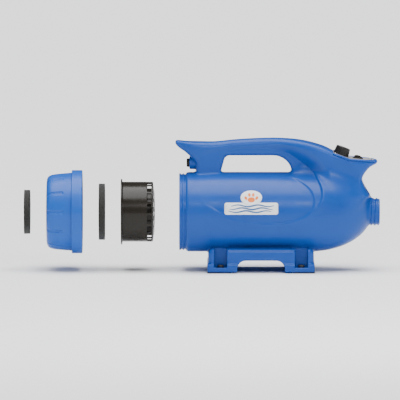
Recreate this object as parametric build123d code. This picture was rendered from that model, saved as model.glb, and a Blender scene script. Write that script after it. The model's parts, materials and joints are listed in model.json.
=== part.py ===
"""Portable forced-air pet dryer, with its intake parts drawn off along the air axis.

Units are millimetres. Everything is drawn about the air axis (X, from the intake to the outlet, Z up),
in its place in the closed dryer. Two moves come last: the intake parts are pulled out along -X by the
distances below, and the whole dryer is lifted so that its rubber feet stand on Z = 0.
The origin is the centre of the four foot bolts.
"""
import os
from math import atan2, cos, radians, sin, tan

from build123d import *

# ---- Driving dimensions -------------------------------------------------------------------------
AXIS_HEIGHT = 117.0        # air axis above the floor
BODY_R = 79.5              # outside of the barrel
WALL = 4.5                 # moulded wall

RIM_X = -163.2             # intake end of the neck
SHOULDER_X = -150.4        # end of the neck, where the cap's skirt stops
NECK_R = 75.0
BEAD_R = 76.6
BEADS = ((RIM_X, -159.6), (-156.4, -153.6))
NECK_BORE_R = 71.0
NOSE_X = 100.0             # where the barrel turns into its elliptic nose
NOSE_LENGTH = 122.6
NOSE_ANGLES = (0.0, 0.35, 0.7, 0.95, 1.13)
SPOUT_X = 217.0            # start of the threaded outlet
SPOUT_END_X = 237.8
SPOUT_R = 25.8
THREAD_R = 27.6
THREAD_PITCH = 7.4
THREAD_FIRST_X = 220.2
SPOUT_BORE_R = 22.0
CABLE_HOLE_X = 147.0       # hole in the barrel for the motor's leads
CABLE_HOLE_R = 12.0

# Handle, rear horn and control pylon: a side outline, and a half width that changes along X.
SADDLE_WIDTHS = ((-172.0, 12.0), (-150.0, 21.0), (-126.0, 23.0), (-98.0, 20.0), (-70.0, 17.0), (40.0, 17.0),
                 (70.0, 22.0), (100.0, 34.0), (130.0, 41.0), (165.0, 42.0), (205.0, 36.0), (236.0, 15.0))
REAR_HORN = ((-129.6, 70.0), (-129.8, 96.0), (-137.6, 111.5), (-149.6, 125.5), (-161.6, 133.5),
             (-168.4, 140.2))
HORN_TIP = ((-168.4, 140.2), (-169.8, 141.9), (-168.2, 143.2))
HANDLE_TOP = ((-168.2, 143.2), (-147.0, 141.4), (-87.0, 141.6), (-50.0, 145.5), (10.0, 148.5), (50.0, 147.5),
              (86.0, 142.5), (122.0, 132.0), (144.0, 121.5))
PANEL_START = (144.0, 121.5)
PANEL_BEND = (176.0, 109.5)
PANEL_END = (231.0, 104.8)
FRONT_TIP = ((231.0, 104.8), (233.4, 101.8), (231.0, 97.2))
FRONT_HORN = ((231.0, 97.2), (218.4, 91.5), (210.4, 83.5), (203.6, 73.0), (202.4, 63.0), (206.4, 47.5),
              (214.0, 32.0))
SADDLE_FOOT = ((182.0, 25.0), (100.0, 55.0), (-122.0, 55.0))
GRIP_FLOOR = 66.0          # the grip opening is cut down to here, inside the barrel
GRIP_X = (-79.6, 61.4)
GRIP_TOP = 113.5
GRIP_CORNER = 11.0
GRIP_SWEEP_X = 24.0
# Hollow of the handle and pylon, a wall's thickness inside the outline.
HOLLOW = ((-125.0, 60.0), (-125.0, 98.0), (-133.5, 113.0), (-147.0, 122.8), (-157.0, 130.5), (-158.0, 137.0),
          (-147.0, 136.9), (-87.0, 137.1), (-50.0, 141.0), (10.0, 144.0), (50.0, 143.0), (86.0, 138.0),
          (122.0, 127.5), (144.0, 117.0), (176.0, 105.0), (222.0, 100.5), (216.0, 96.0), (206.5, 86.5),
          (199.0, 74.0), (197.9, 63.0), (201.0, 48.0), (180.0, 34.0), (100.0, 60.0), (66.0, 66.0),
          (66.0, 80.0), (53.0, 105.5), (24.0, 118.0), (-66.0, 118.0), (-76.5, 112.0), (-84.2, 84.0),
          (-84.2, 60.0))

# Plinth with four bolt pockets and an arch across its middle. Heights are above the floor.
PLINTH_HALF_X = 107.0
PLINTH_HALF_Y = 77.0
PLINTH_TOP = 49.0
PAD_THICKNESS = 2.0
PAD_X = (60.0, 107.0)
PAD_Y = (39.5, 76.0)
ARCH_HALF_X = 47.5
ARCH_TOP = 25.0
ARCH_R = 17.0
BOLT_X = 80.5
BOLT_Y = 62.0
BOLT_R = 3.25
POCKET_HALF_X = 12.8
POCKET_FLOOR = 8.5
POCKET_LIP = 11.5
POCKET_BACK_Y = 50.0
GROMMET_R = 6.7
GROMMET_SEAT_R = 5.0

# Cord inlet boss on the rear post.
BOSS_Z = 98.5
BOSS_R = 13.0
BOSS_X = -143.0
GLAND_R = 8.8
GLAND_OUT = 5.6
GLAND_BORE = 4.0
LEAD_R = 3.5

# Control panel: a plate bent along the two slopes PANEL_START, PANEL_BEND, PANEL_END, sunk in the pylon.
PANEL_SINK = 1.0
PANEL_THICKNESS = 2.5
PANEL_X = (145.0, 226.0)
PANEL_INSET = 5.0
LEDGE = 7.0
LEDGE_DEPTH = 9.0
KNOB_R = 15.8
KNOB_HEIGHT = 15.5
KNOB_AT = 17.3             # along the first slope
SWITCH_AT = 18.0           # along the second slope
SWITCH_BLADES = (-7.0, 0.0)   # from the middle of the switch, along the slope
ROCKER_TILT = 9.0
ROCKER_TOP = 5.6           # above the pivot
ROCKER_DOME_R = 14.0
BOARD_Z = -31.0            # middle of the board, below the second slope
BOARD_X = (-27.0, 21.0)

# Intake cap.
CAP_SKIRT_R = 83.2
CAP_SKIRT_LENGTH = 21.0
CAP_STEP_R = 78.0
CAP_LENGTH = 71.4
CAP_WALL = 4.0
CAP_FACE_R = 56.0
CAP_GAP = 0.5              # between the closed cap and the shoulder
FLUTES = 12
FLUTE_DEPTH = 1.3
OUTER_FILTER_R = 44.5
FILTER_THICKNESS = 13.0
INNER_FILTER_R = 57.0
RECESS_R = 45.2
RECESS_DEPTH = 14.6

# Filter basket.
BASKET_R = 59.8
BASKET_WALL = 2.2
BASKET_FLANGE_R = 65.5
BASKET_FLANGE = 3.2
BASKET_LENGTH = 64.4       # flange to the end rim, without the low dome of its end
BASKET_DOME = 3.8
BASKET_X = RIM_X           # intake face of its flange in the closed dryer
BASKET_WINDOWS = 16

# How far each intake piece is pulled out along -X at rest.
OUTER_FILTER_PULL = 252.8
CAP_PULL = 205.9
INNER_FILTER_PULL = 161.2
BASKET_PULL = 116.6

# Motor.
FAN_CASE_X = -78.0
FAN_CASE_END = -34.0
FAN_CASE_R = 62.0
FAN_EYE_R = 23.0
SHAFT_R = 4.0
STATOR_R = 43.0
STATOR_X = (-16.0, 18.0)
ARMATURE_R = 23.0
COMMUTATOR_X = (27.0, 40.0)
COMMUTATOR_R = 12.0

BORE_R = BODY_R - WALL     # air space round the motor
LABEL_X, LABEL_Z = -19.5, 25.0
LABEL_HALF_LENGTH, LABEL_HALF_HEIGHT = 53.5, 24.0
LABEL_THICKNESS = 0.4

os.makedirs("parts", exist_ok=True)


# ---- Helpers ------------------------------------------------------------------------------------
def turned(*points):
    """A solid of revolution about X from (x, radius) points."""
    outline = Polyline(*[(x, 0, r) for x, r in points], close=True)
    return revolve(make_face(outline), Axis.X)


def disc(x0, x1, r, hole=0.0):
    """A disc, or a ring if it has a hole, about the air axis from x0 to x1."""
    solid = Pos((x0 + x1) / 2, 0, 0) * Rot(0, 90, 0) * Cylinder(r, x1 - x0)
    if hole:
        solid -= Pos((x0 + x1) / 2, 0, 0) * Rot(0, 90, 0) * Cylinder(hole, x1 - x0 + 2)
    return solid


def block(x0, x1, y0, y1, z0, z1):
    """A box between two corners."""
    return Pos((x0 + x1) / 2, (y0 + y1) / 2, (z0 + z1) / 2) * Box(x1 - x0, y1 - y0, z1 - z0)


def around(solid, count, start=0.0):
    """Copies of a solid evenly turned about the air axis."""
    return [Rot(start + 360.0 * k / count, 0, 0) * solid for k in range(count)]


def upright(x, y, z0, z1, r):
    """A vertical cylinder."""
    return Pos(x, y, (z0 + z1) / 2) * Cylinder(r, z1 - z0)


def side_points(points):
    """(x, z) pairs as points of the mid-plane."""
    return [(x, 0, z) for x, z in points]


def both_ways(face, half):
    """A face of the mid-plane extruded to both sides."""
    return extrude(face, half, dir=(0, 1, 0), both=True)


def floor_z(height):
    """A height above the floor as a Z of the air-axis frame."""
    return height - AXIS_HEIGHT


def save(name, *solids, pull=0.0):
    """Writes one node: its solids in their resting place."""
    placed = [Pos(-pull, 0, AXIS_HEIGHT) * s for s in solids]
    shape = placed[0] if len(placed) == 1 else Compound(children=placed)
    export_step(shape, f"parts/{name}.step")


def bend_radii(points):
    """The widest arcs that a cable's runs leave room for, one at each inner point."""
    radii = []
    for before, at, after in zip(points, points[1:], points[2:]):
        arriving = Vector(*at) - Vector(*before)
        leaving = Vector(*after) - Vector(*at)
        turn = radians(arriving.get_angle(leaving))
        radii.append(0.45 * min(arriving.length, leaving.length) / tan(turn / 2))
    return radii


def cable(radius, *points):
    """A round cable along straight runs joined by arcs."""
    route = FilletPolyline(*points, radius=bend_radii(points))
    return sweep(Plane(route @ 0, z_dir=route % 0) * Circle(radius), route)


def slope_plane(start, end):
    """The plane through two points of the side outline: X along the slope, Z out of the moulding."""
    dx, dz = end[0] - start[0], end[1] - start[1]
    return Plane(origin=(start[0], 0, start[1]), x_dir=(dx, 0, dz), z_dir=(-dz, 0, dx))


KNOB_SLOPE = slope_plane(PANEL_START, PANEL_BEND)
SWITCH_SLOPE = slope_plane(PANEL_BEND, PANEL_END)


def under_slope(start, end, drop):
    """Depth below a slope's plane of a surface that lies a vertical drop below it."""
    return -drop * cos(atan2(start[1] - end[1], end[0] - start[0]))


KNOB_SEAT = under_slope(PANEL_START, PANEL_BEND, PANEL_SINK)
KNOB_UNDER = under_slope(PANEL_START, PANEL_BEND, PANEL_SINK + PANEL_THICKNESS)
SWITCH_SEAT = under_slope(PANEL_BEND, PANEL_END, PANEL_SINK)
SWITCH_UNDER = under_slope(PANEL_BEND, PANEL_END, PANEL_SINK + PANEL_THICKNESS)


def by_knob(solid):
    """Moves a solid drawn round the knob's axis to its place."""
    return KNOB_SLOPE.location * Pos(KNOB_AT, 0, 0) * solid


def by_switch(solid):
    """Moves a solid drawn from the bend of the panel along the switch's slope to its place."""
    return SWITCH_SLOPE.location * solid


# ---- Housing ------------------------------------------------------------------------------------
def nose_points(inset):
    """Points of the nose's ellipse, moved inwards by an inset."""
    return [(NOSE_X + (NOSE_LENGTH - inset) * sin(a), (BODY_R - inset) * cos(a)) for a in NOSE_ANGLES]


def nose_curve(inset):
    """The nose's outline as a smooth curve from the barrel."""
    points = nose_points(inset)
    last = NOSE_ANGLES[-1]
    leaving = (cos(last) * NOSE_LENGTH, 0, -sin(last) * BODY_R)
    return Spline(*side_points(points), tangents=[(1, 0, 0), leaving]), points


def barrel_outside():
    """Full outer form of the barrel, neck, nose and outlet."""
    neck = [(RIM_X, 0)]
    for x0, x1 in BEADS:
        neck += [(x0, NECK_R), (x0 + 0.5, BEAD_R), (x1 - 0.5, BEAD_R), (x1, NECK_R)]
    neck += [(SHOULDER_X, NECK_R), (SHOULDER_X, BODY_R - 4)]
    nose, points = nose_curve(0)
    edges = [
        Polyline(*side_points(neck)),
        Spline(*side_points(((SHOULDER_X, BODY_R - 4), (-149.0, BODY_R - 1.2), (-144.4, BODY_R))),
               tangents=[(0, 0, 1), (1, 0, 0)]),
        Line((-144.4, 0, BODY_R), (NOSE_X, 0, BODY_R)),
        nose,
        Polyline(*side_points((points[-1], (SPOUT_X, SPOUT_R), (SPOUT_END_X, SPOUT_R), (SPOUT_END_X, 0),
                               (RIM_X, 0)))),
    ]
    return revolve(make_face(edges), Axis.X)


def barrel_inside():
    """Air space of the barrel and the outlet bore."""
    nose, points = nose_curve(WALL)
    edges = [
        Polyline(*side_points(((RIM_X - 1, 0), (RIM_X - 1, NECK_BORE_R), (-146.0, NECK_BORE_R),
                               (-142.0, BORE_R), (NOSE_X, BORE_R)))),
        nose,
        Polyline(*side_points((points[-1], (SPOUT_X, SPOUT_BORE_R), (SPOUT_END_X + 1, SPOUT_BORE_R),
                               (SPOUT_END_X + 1, 0), (RIM_X - 1, 0)))),
    ]
    return revolve(make_face(edges), Axis.X)


def housing_barrel():
    """Barrel with its neck, nose and threaded outlet. The hose cuff's thread is three coarse ridges."""
    ridge = THREAD_PITCH * 0.26
    shell = barrel_outside()
    for k in range(3):
        x = THREAD_FIRST_X + k * THREAD_PITCH
        shell += turned((x - ridge, SPOUT_R - 1), (x - ridge, SPOUT_R), (x - ridge / 2, THREAD_R),
                        (x + ridge / 2, THREAD_R), (x + ridge, SPOUT_R), (x + ridge, SPOUT_R - 1))
    shell -= barrel_inside()
    return shell - upright(CABLE_HOLE_X, 0, 50, 90, CABLE_HOLE_R)


def saddle_side():
    """Side outline of the rear horn, handle and control pylon, less the finger opening."""
    outline = make_face([
        Spline(*side_points(REAR_HORN)),
        ThreePointArc(*side_points(HORN_TIP)),
        Spline(*side_points(HANDLE_TOP)),
        Polyline(*side_points((PANEL_START, PANEL_BEND, PANEL_END))),
        ThreePointArc(*side_points(FRONT_TIP)),
        Spline(*side_points(FRONT_HORN)),
        Polyline(*side_points((FRONT_HORN[-1], *SADDLE_FOOT, REAR_HORN[0]))),
    ])
    left, right = GRIP_X
    lean = left + 5.0
    corner_foot = (lean, GRIP_TOP - GRIP_CORNER)
    corner_middle = (lean + 0.3 * GRIP_CORNER, GRIP_TOP - 0.3 * GRIP_CORNER)
    corner_top = (lean + GRIP_CORNER, GRIP_TOP)
    sweep = ((GRIP_SWEEP_X, GRIP_TOP), (50.0, 101.5), (right, 79.0))
    opening = make_face([
        Polyline(*side_points(((right, GRIP_FLOOR), (left, GRIP_FLOOR), (left, 82.0), corner_foot))),
        ThreePointArc(*side_points((corner_foot, corner_middle, corner_top))),
        Line(*side_points((corner_top, sweep[0]))),
        Spline(*side_points(sweep), tangents=[(1, 0, 0), (0.1, 0, -1)]),
        Line(*side_points((sweep[-1], (right, GRIP_FLOOR)))),
    ])
    return outline - opening


def saddle_plan(inset=0.0):
    """The saddle seen from above: its half width along X on both sides."""
    near = [(x, -max(w - inset, 2.0), 0) for x, w in SADDLE_WIDTHS]
    far = [(x, -y, 0) for x, y, z in reversed(near)]
    edges = [Spline(*near), Line(near[-1], far[0]), Spline(*far), Line(far[-1], near[0])]
    return extrude(make_face(edges), 160, dir=(0, 0, 1))


def panel_z(x):
    """Height of the panel's outline at x."""
    start, end = (PANEL_START, PANEL_BEND) if x < PANEL_BEND[0] else (PANEL_BEND, PANEL_END)
    return start[1] + (x - start[0]) * (end[1] - start[1]) / (end[0] - start[0])


def panel_slab(top, bottom, inset, x0, x1):
    """The space between two vertical drops below the panel's outline, inside the saddle's plan."""
    across = (x0, PANEL_BEND[0], x1)
    upper = [(x, panel_z(x) - top) for x in across]
    lower = [(x, panel_z(x) - bottom) for x in reversed(across)]
    slab = both_ways(make_face(Polyline(*side_points(upper + lower), close=True)), 60)
    return slab & saddle_plan(inset)


def saddle_inside():
    """Hollow of the handle and the pylon, below a ledge that carries the control panel."""
    inner_side = make_face(Polyline(*side_points(HOLLOW), close=True))
    return (both_ways(inner_side, 60) & saddle_plan(WALL)) - panel_slab(-20, LEDGE_DEPTH, 0, 120.0, 235.0)


def handle_shell():
    """Handle with the rear horn, the cord inlet's boss and the control pylon, open to the barrel below."""
    shell = both_ways(saddle_side(), 60) & saddle_plan()
    shell = shell.solids()[0]
    shell += Pos((BOSS_X - 118) / 2, 0, BOSS_Z) * Rot(0, 90, 0) * Cylinder(BOSS_R, -118 - BOSS_X)
    for space in saddle_inside().solids():
        shell -= space
    shell -= Pos(0, 0, BOSS_Z) * disc(BOSS_X - 1, -110, GLAND_R)
    x0, x1 = PANEL_X
    shell -= panel_slab(-2, PANEL_SINK + PANEL_THICKNESS, PANEL_INSET, x0, x1)
    shell -= panel_slab(-2, LEDGE_DEPTH + 2, PANEL_INSET + LEDGE, x0 + 3, x1 - LEDGE - 4)
    for hole in panel_screw_places(Cylinder(1.5, 30)):
        shell -= hole
    shell -= barrel_outside()
    return shell.solids().sort_by(SortBy.VOLUME)[-1]


def base_plinth():
    """Foot block with an arch across it, four bolt pockets with low lips, and rounded shoulders."""
    body = block(-PLINTH_HALF_X, PLINTH_HALF_X, -PLINTH_HALF_Y, PLINTH_HALF_Y, floor_z(PAD_THICKNESS),
                 floor_z(PLINTH_TOP))
    body = fillet(body.edges().filter_by(Axis.X).group_by(Axis.Z)[-1], 11)
    body = fillet(body.edges().filter_by(Axis.Z), 6)
    arch = block(-ARCH_HALF_X, ARCH_HALF_X, -90, 90, floor_z(-30), floor_z(ARCH_TOP))
    arch = fillet(arch.edges().filter_by(Axis.Y).group_by(Axis.Z)[-1], ARCH_R)
    body -= arch
    body -= plinth_inside()
    for x in (-BOLT_X, BOLT_X):
        for side in (-1, 1):
            pocket = block(x - POCKET_HALF_X, x + POCKET_HALF_X, *sorted((side * POCKET_BACK_Y, side * 90)),
                           floor_z(POCKET_FLOOR), floor_z(PLINTH_TOP + 5))
            pocket -= block(x - 20, x + 20, *sorted((side * (PLINTH_HALF_Y - 3), side * 90)), floor_z(0),
                            floor_z(POCKET_LIP))
            body -= pocket
            body -= upright(x, side * BOLT_Y, floor_z(-1), floor_z(20), GROMMET_SEAT_R)
    body -= barrel_outside()
    return body.solids().sort_by(SortBy.VOLUME)[-1]


def plinth_inside():
    """Hollow of the foot block between its pockets, up to the barrel."""
    x, y = PLINTH_HALF_X - WALL, POCKET_BACK_Y - WALL
    space = block(-x, x, -y, y, floor_z(PAD_THICKNESS + WALL), floor_z(60))
    arch = block(-ARCH_HALF_X - WALL, ARCH_HALF_X + WALL, -90, 90, floor_z(-30), floor_z(ARCH_TOP + WALL))
    return space - arch


# ---- Controls -----------------------------------------------------------------------------------
def control_panel():
    """Bent grey plate that carries the speed control, the power switch and four posts for the board."""
    gap = 0.3
    x0, x1 = PANEL_X
    plate = panel_slab(PANEL_SINK, PANEL_SINK + PANEL_THICKNESS, PANEL_INSET + gap, x0 + gap, x1 - gap)
    plate -= by_knob(Cylinder(4.8, 20))
    plate -= by_switch(Pos(SWITCH_AT, 0, 0) * Box(19.4, 13.4, 20))
    top = BOARD_Z + 0.8
    for x, reach in ((-20.0, 2.6), (16.0, SWITCH_UNDER + 0.2)):
        for y in (-18.0, 18.0):
            plate += by_switch(Pos(x, y, (top + reach) / 2) * Cylinder(2.6, reach - top))
    for hole in panel_screw_places(Cylinder(1.7, 20)):
        plate -= hole
    return plate


def panel_screw_places(solid):
    """Copies of a solid at the plate's four screws."""
    near = [KNOB_SLOPE.location * Pos(5.7, y, KNOB_SEAT) * solid for y in (-32.5, 32.5)]
    far = [SWITCH_SLOPE.location * Pos(43.0, y, SWITCH_SEAT) * solid for y in (-15.0, 15.0)]
    return near + far


def panel_screws():
    """Four pan-head screws into the ledge under the plate."""
    screw = Pos(0, 0, 1.0) * Cylinder(3.0, 2.0) + Pos(0, 0, -4) * Cylinder(1.45, 8.2)
    screw = fillet(screw.edges().group_by(Axis.Z)[-1], 1.0)
    screw -= Pos(0, 0, 2.0) * Box(3.4, 0.8, 1.6)
    screw -= Pos(0, 0, 2.0) * Box(0.8, 3.4, 1.6)
    return panel_screw_places(screw)


def speed_knob():
    """Ribbed cap of the speed control, hollow over its nut, with a bore for the shaft and a pointer slot."""
    base = KNOB_SEAT + 0.6
    top = base + KNOB_HEIGHT
    knob = Pos(0, 0, (base + top) / 2) * Cone(KNOB_R, KNOB_R - 1.6, KNOB_HEIGHT)
    knob = fillet(knob.edges().group_by(Axis.Z)[-1], 1.2)
    for k in range(24):
        groove = Pos(KNOB_R + 0.1, 0, (base + top) / 2 - 1) * Box(2.2, 1.7, KNOB_HEIGHT)
        knob -= Rot(0, 0, 7.5 + 15 * k) * groove
    knob -= Pos(0, 0, base + 1.2) * Cylinder(8.4, 2.6)
    knob -= Pos(0, 0, base + 5.0) * Cylinder(3.05, 8.6)
    knob -= Pos(-8.5, 0, top) * Box(9, 1.6, 1.2)
    return by_knob(knob)


def knob_pointer():
    """White line inlaid in the top of the knob."""
    return by_knob(Pos(-8.5, 0, KNOB_SEAT + 0.6 + KNOB_HEIGHT - 0.3) * Box(8.9, 1.5, 0.6))


def potentiometer_shaft():
    """Shaft of the speed control, which turns with the knob."""
    foot, top = KNOB_UNDER - 7, KNOB_SEAT + 9.6
    return by_knob(Pos(0, 0, (foot + top) / 2) * Cylinder(3.0, top - foot))


def potentiometer():
    """Can and threaded bush of the speed control, hung under the panel."""
    can = Pos(0, 0, KNOB_UNDER - 4.6) * Cylinder(8.5, 9)
    can += Pos(0, 0, (KNOB_UNDER + KNOB_SEAT + 2.0) / 2) * Cylinder(4.7, KNOB_SEAT + 2.6 - KNOB_UNDER)
    can += Pos(10, 0, KNOB_UNDER - 7.6) * Box(6, 9, 1.2)
    can -= Pos(0, 0, KNOB_UNDER) * Cylinder(3.05, 22)
    return by_knob(can)


def potentiometer_nut():
    """Hexagon nut that clamps the speed control to the panel."""
    nut = Pos(0, 0, KNOB_SEAT) * extrude(RegularPolygon(7.2, 6), 2.0)
    return by_knob(nut - Cylinder(4.75, 12))


def switch_frame():
    """Bezel, box and blade terminals of the power switch, set along the panel."""
    frame = Pos(0, 0, SWITCH_SEAT + 0.9) * Box(21, 15, 1.8)
    frame = fillet(frame.edges().group_by(Axis.Z)[-1], 0.8)
    frame += Pos(0, 0, SWITCH_SEAT - 7) * Box(19, 13, 16)
    frame -= Pos(0, 0, SWITCH_SEAT + 0.5) * Box(16.8, 10.8, 13)
    for x in SWITCH_BLADES:
        frame += Pos(x, 0, SWITCH_SEAT - 18) * Box(0.8, 6, 7)
    return by_switch(Pos(SWITCH_AT, 0, 0) * frame)


def power_rocker():
    """Domed rocker of the power switch, pivoted across the panel and resting in its off position."""
    blank = Rot(90, 0, 0) * Cylinder(9.0, 10.2)
    blank &= Pos(0, 0, 3.4) * Box(15.6, 10.2, 8.0)
    blank &= Pos(0, 0, ROCKER_TOP - ROCKER_DOME_R) * Rot(90, 0, 0) * Cylinder(ROCKER_DOME_R, 12)
    return by_switch(Pos(SWITCH_AT, 0, SWITCH_SEAT + 0.8) * Rot(0, ROCKER_TILT, 0) * blank)


def switch_leads():
    """Two stiff leads between the switch's terminals and the board."""
    top, foot = SWITCH_SEAT - 21.5, BOARD_Z + 0.8
    lead = Pos(SWITCH_AT, 0, (top + foot) / 2) * Cylinder(1.3, top - foot)
    return [by_switch(Pos(x, 0, 0) * lead) for x in SWITCH_BLADES]


def control_board():
    """Circuit board of the speed control, on the panel's posts."""
    x0, x1 = BOARD_X
    return by_switch(block(x0, x1, -22, 22, BOARD_Z - 0.8, BOARD_Z + 0.8))


def board_parts():
    """Heat sink, capacitor and terminal block on the board."""
    foot = BOARD_Z + 0.8
    sink = block(-12, -10.5, -16, 16, foot, foot + 14)
    for y in (-15, -9, -3, 3, 9, 15):
        sink += block(-10.6, -4, y - 0.7, y + 0.7, foot, foot + 14)
    capacitor = block(-2, 7, 0, 17, foot, foot + 10)
    terminals = block(-26, -18, -12, 4, foot, foot + 8)
    for y in (-8, -4, 0):
        terminals -= Pos(-22, y, foot + 8) * Cylinder(1.4, 3)
    return by_switch(sink), by_switch(capacitor), by_switch(terminals)


# ---- Cord inlet ---------------------------------------------------------------------------------
def cable_gland():
    """Black strain-relief gland in the inlet boss, with an open bore for the supply cord."""
    x0, x1 = BOSS_X - GLAND_OUT, BOSS_X + 16
    gland = turned((x0, GLAND_BORE), (x0, GLAND_R - 2.0), (x0 + 2.0, GLAND_R - 0.05), (x1, GLAND_R - 0.05),
                   (x1, GLAND_BORE))
    for k in range(6):
        gland -= Rot(60 * k, 0, 0) * block(x0 - 1, BOSS_X - 0.8, -6, 6, GLAND_R - 0.9, GLAND_R + 2)
    return Pos(0, 0, BOSS_Z) * gland


# ---- Feet ---------------------------------------------------------------------------------------
def rubber_feet():
    """Four rubber pads under the plinth's corners, each with a hole for a mounting bolt."""
    pads = []
    for x in (-1, 1):
        for y in (-1, 1):
            length = sorted((x * PAD_X[0], x * PAD_X[1]))
            width = sorted((y * PAD_Y[0], y * PAD_Y[1]))
            pad = block(*length, *width, floor_z(0), floor_z(PAD_THICKNESS))
            pad = fillet(pad.edges().filter_by(Axis.Z), 6)
            pad -= upright(x * BOLT_X, y * BOLT_Y, floor_z(-1), floor_z(6), BOLT_R)
            pads.append(pad)
    return pads


def foot_grommets():
    """Domed rubber grommets that line the bolt holes in the pockets."""
    grommets = []
    for x in (-BOLT_X, BOLT_X):
        for y in (-BOLT_Y, BOLT_Y):
            dome = Pos(x, y, floor_z(POCKET_FLOOR + 4)) * Cylinder(GROMMET_R, 8)
            dome = fillet(dome.edges().group_by(Axis.Z)[-1], 3.0)
            dome += upright(x, y, floor_z(PAD_THICKNESS), floor_z(POCKET_FLOOR), GROMMET_SEAT_R - 0.05)
            dome -= upright(x, y, floor_z(0), floor_z(40), BOLT_R)
            grommets.append(dome)
    return grommets


# ---- Intake parts -------------------------------------------------------------------------------
CAP_END = SHOULDER_X - CAP_GAP                 # open edge of the skirt in the closed dryer
CAP_FACE_X = CAP_END - CAP_LENGTH
CAP_STEP_X = CAP_END - CAP_SKIRT_LENGTH
SEAT_X = RIM_X - 2.5                           # the cap's inner shoulder, which carries its seal
SEAT_R = 71.0
RECESS_FLOOR_X = CAP_FACE_X + RECESS_DEPTH
GRILLE = 3.0


def cap_dome(inset):
    """The cap's side outline from its face to the skirt, moved inwards by an inset, and its points."""
    points = [(CAP_FACE_X + inset, CAP_FACE_R), (CAP_FACE_X + inset, 60.0 - inset * 0.4),
              (CAP_FACE_X + 1.4 + inset * 0.9, 67.5 - inset * 0.6),
              (CAP_FACE_X + 6.6 + inset * 0.6, 72.4 - inset * 0.8),
              (CAP_FACE_X + 16.0, 75.0 - inset), (CAP_STEP_X + 0.01, CAP_STEP_R - inset)]
    curve = Spline(*side_points(points[1:]), tangents=[(0, 0, 1), (1, 0, 0.05)])
    return curve, points


def cap_ribs():
    """Six ribs inside the cap whose ends hold the basket's flange down."""
    foot, end = RECESS_FLOOR_X - 6, BASKET_X - 0.4
    side = ((foot, 59.0), (end, 59.0), (end, 70.6), (SEAT_X - 0.5, 70.6), (SEAT_X - 0.5, 74.5),
            (foot + 6, 73.0), (foot, 71.2))
    rib = extrude(make_face(Polyline(*side_points(side), close=True)), 1.25, dir=(0, 1, 0), both=True)
    return around(rib, 6, 30)


def cap_flutes():
    """Shallow grip flutes round the dome, equally deep all along it."""
    curve, points = cap_dome(FLUTE_DEPTH)
    core = revolve(make_face([
        Polyline(*side_points(((points[0][0], 0), points[1]))),
        curve,
        Polyline(*side_points((points[-1], (points[-1][0], 0), (points[0][0], 0)))),
    ]), Axis.X)
    tool = Pos(CAP_FACE_X + 16, 0, CAP_STEP_R) * Box(40, 7, 24)
    tool = fillet(tool.edges().filter_by(Axis.Z), 3.4)
    return around(tool & (disc(CAP_FACE_X - 3, CAP_FACE_X + 36, CAP_SKIRT_R) - core), FLUTES, 4)


def intake_cap():
    """Blue end cap: skirt over the neck, fluted dome, and a recess with a grille for the outer filter."""
    outer, points = cap_dome(0)
    inner, inner_points = cap_dome(CAP_WALL)
    shell = revolve(make_face([
        Polyline(*side_points(((CAP_FACE_X, 0), points[1]))),
        outer,
        Polyline(*side_points((points[-1], (CAP_STEP_X, CAP_SKIRT_R - 0.8), (CAP_STEP_X + 0.8, CAP_SKIRT_R),
                               (CAP_END - 0.8, CAP_SKIRT_R), (CAP_END, CAP_SKIRT_R - 0.8), (CAP_END, 0),
                               (CAP_FACE_X, 0)))),
    ]), Axis.X)
    shell -= disc(SEAT_X, CAP_END + 1, BEAD_R + 0.6)
    shell -= revolve(make_face([
        Polyline(*side_points(((inner_points[0][0], 0), inner_points[1]))),
        inner,
        Polyline(*side_points((inner_points[-1], (SEAT_X - 3, 74.0), (SEAT_X - 3, SEAT_R),
                               (SEAT_X + 1, SEAT_R), (SEAT_X + 1, 0), (inner_points[0][0], 0)))),
    ]), Axis.X)
    shell += disc(CAP_FACE_X, RECESS_FLOOR_X + GRILLE, RECESS_R + 3)
    shell -= disc(CAP_FACE_X - 1, RECESS_FLOOR_X, RECESS_R)
    for rib in cap_ribs():
        shell += rib
    for flute in cap_flutes():
        shell -= flute
    for slot in cap_grille():
        shell -= slot
    return shell


def cap_grille():
    """Air slots in the recess's floor: three rings of arcs between spokes."""
    slots = []
    for ring, (r0, r1) in enumerate(((8.0, 17.0), (21.0, 29.0), (33.0, 41.5))):
        band = disc(RECESS_FLOOR_X - 1, RECESS_FLOOR_X + GRILLE + 1, r1, r0)
        count = 6 * (ring + 1)
        spokes = [Rot(360 * k / count, 0, 0) * block(RECESS_FLOOR_X - 2, RECESS_FLOOR_X + 5, -1.5, 1.5, 0, 50)
                  for k in range(count)]
        for spoke in spokes:
            band -= spoke
        slots += band.solids()
    return slots


def cap_seal():
    """Soft ring between the cap's shoulder and the rim of the neck."""
    return disc(SEAT_X, RIM_X - 0.3, BEAD_R + 0.5, SEAT_R + 0.2)


def filter_disc(x, r):
    """A round of open-cell foam."""
    pad = disc(x, x + FILTER_THICKNESS, r)
    return fillet(pad.edges(), 0.8)


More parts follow.
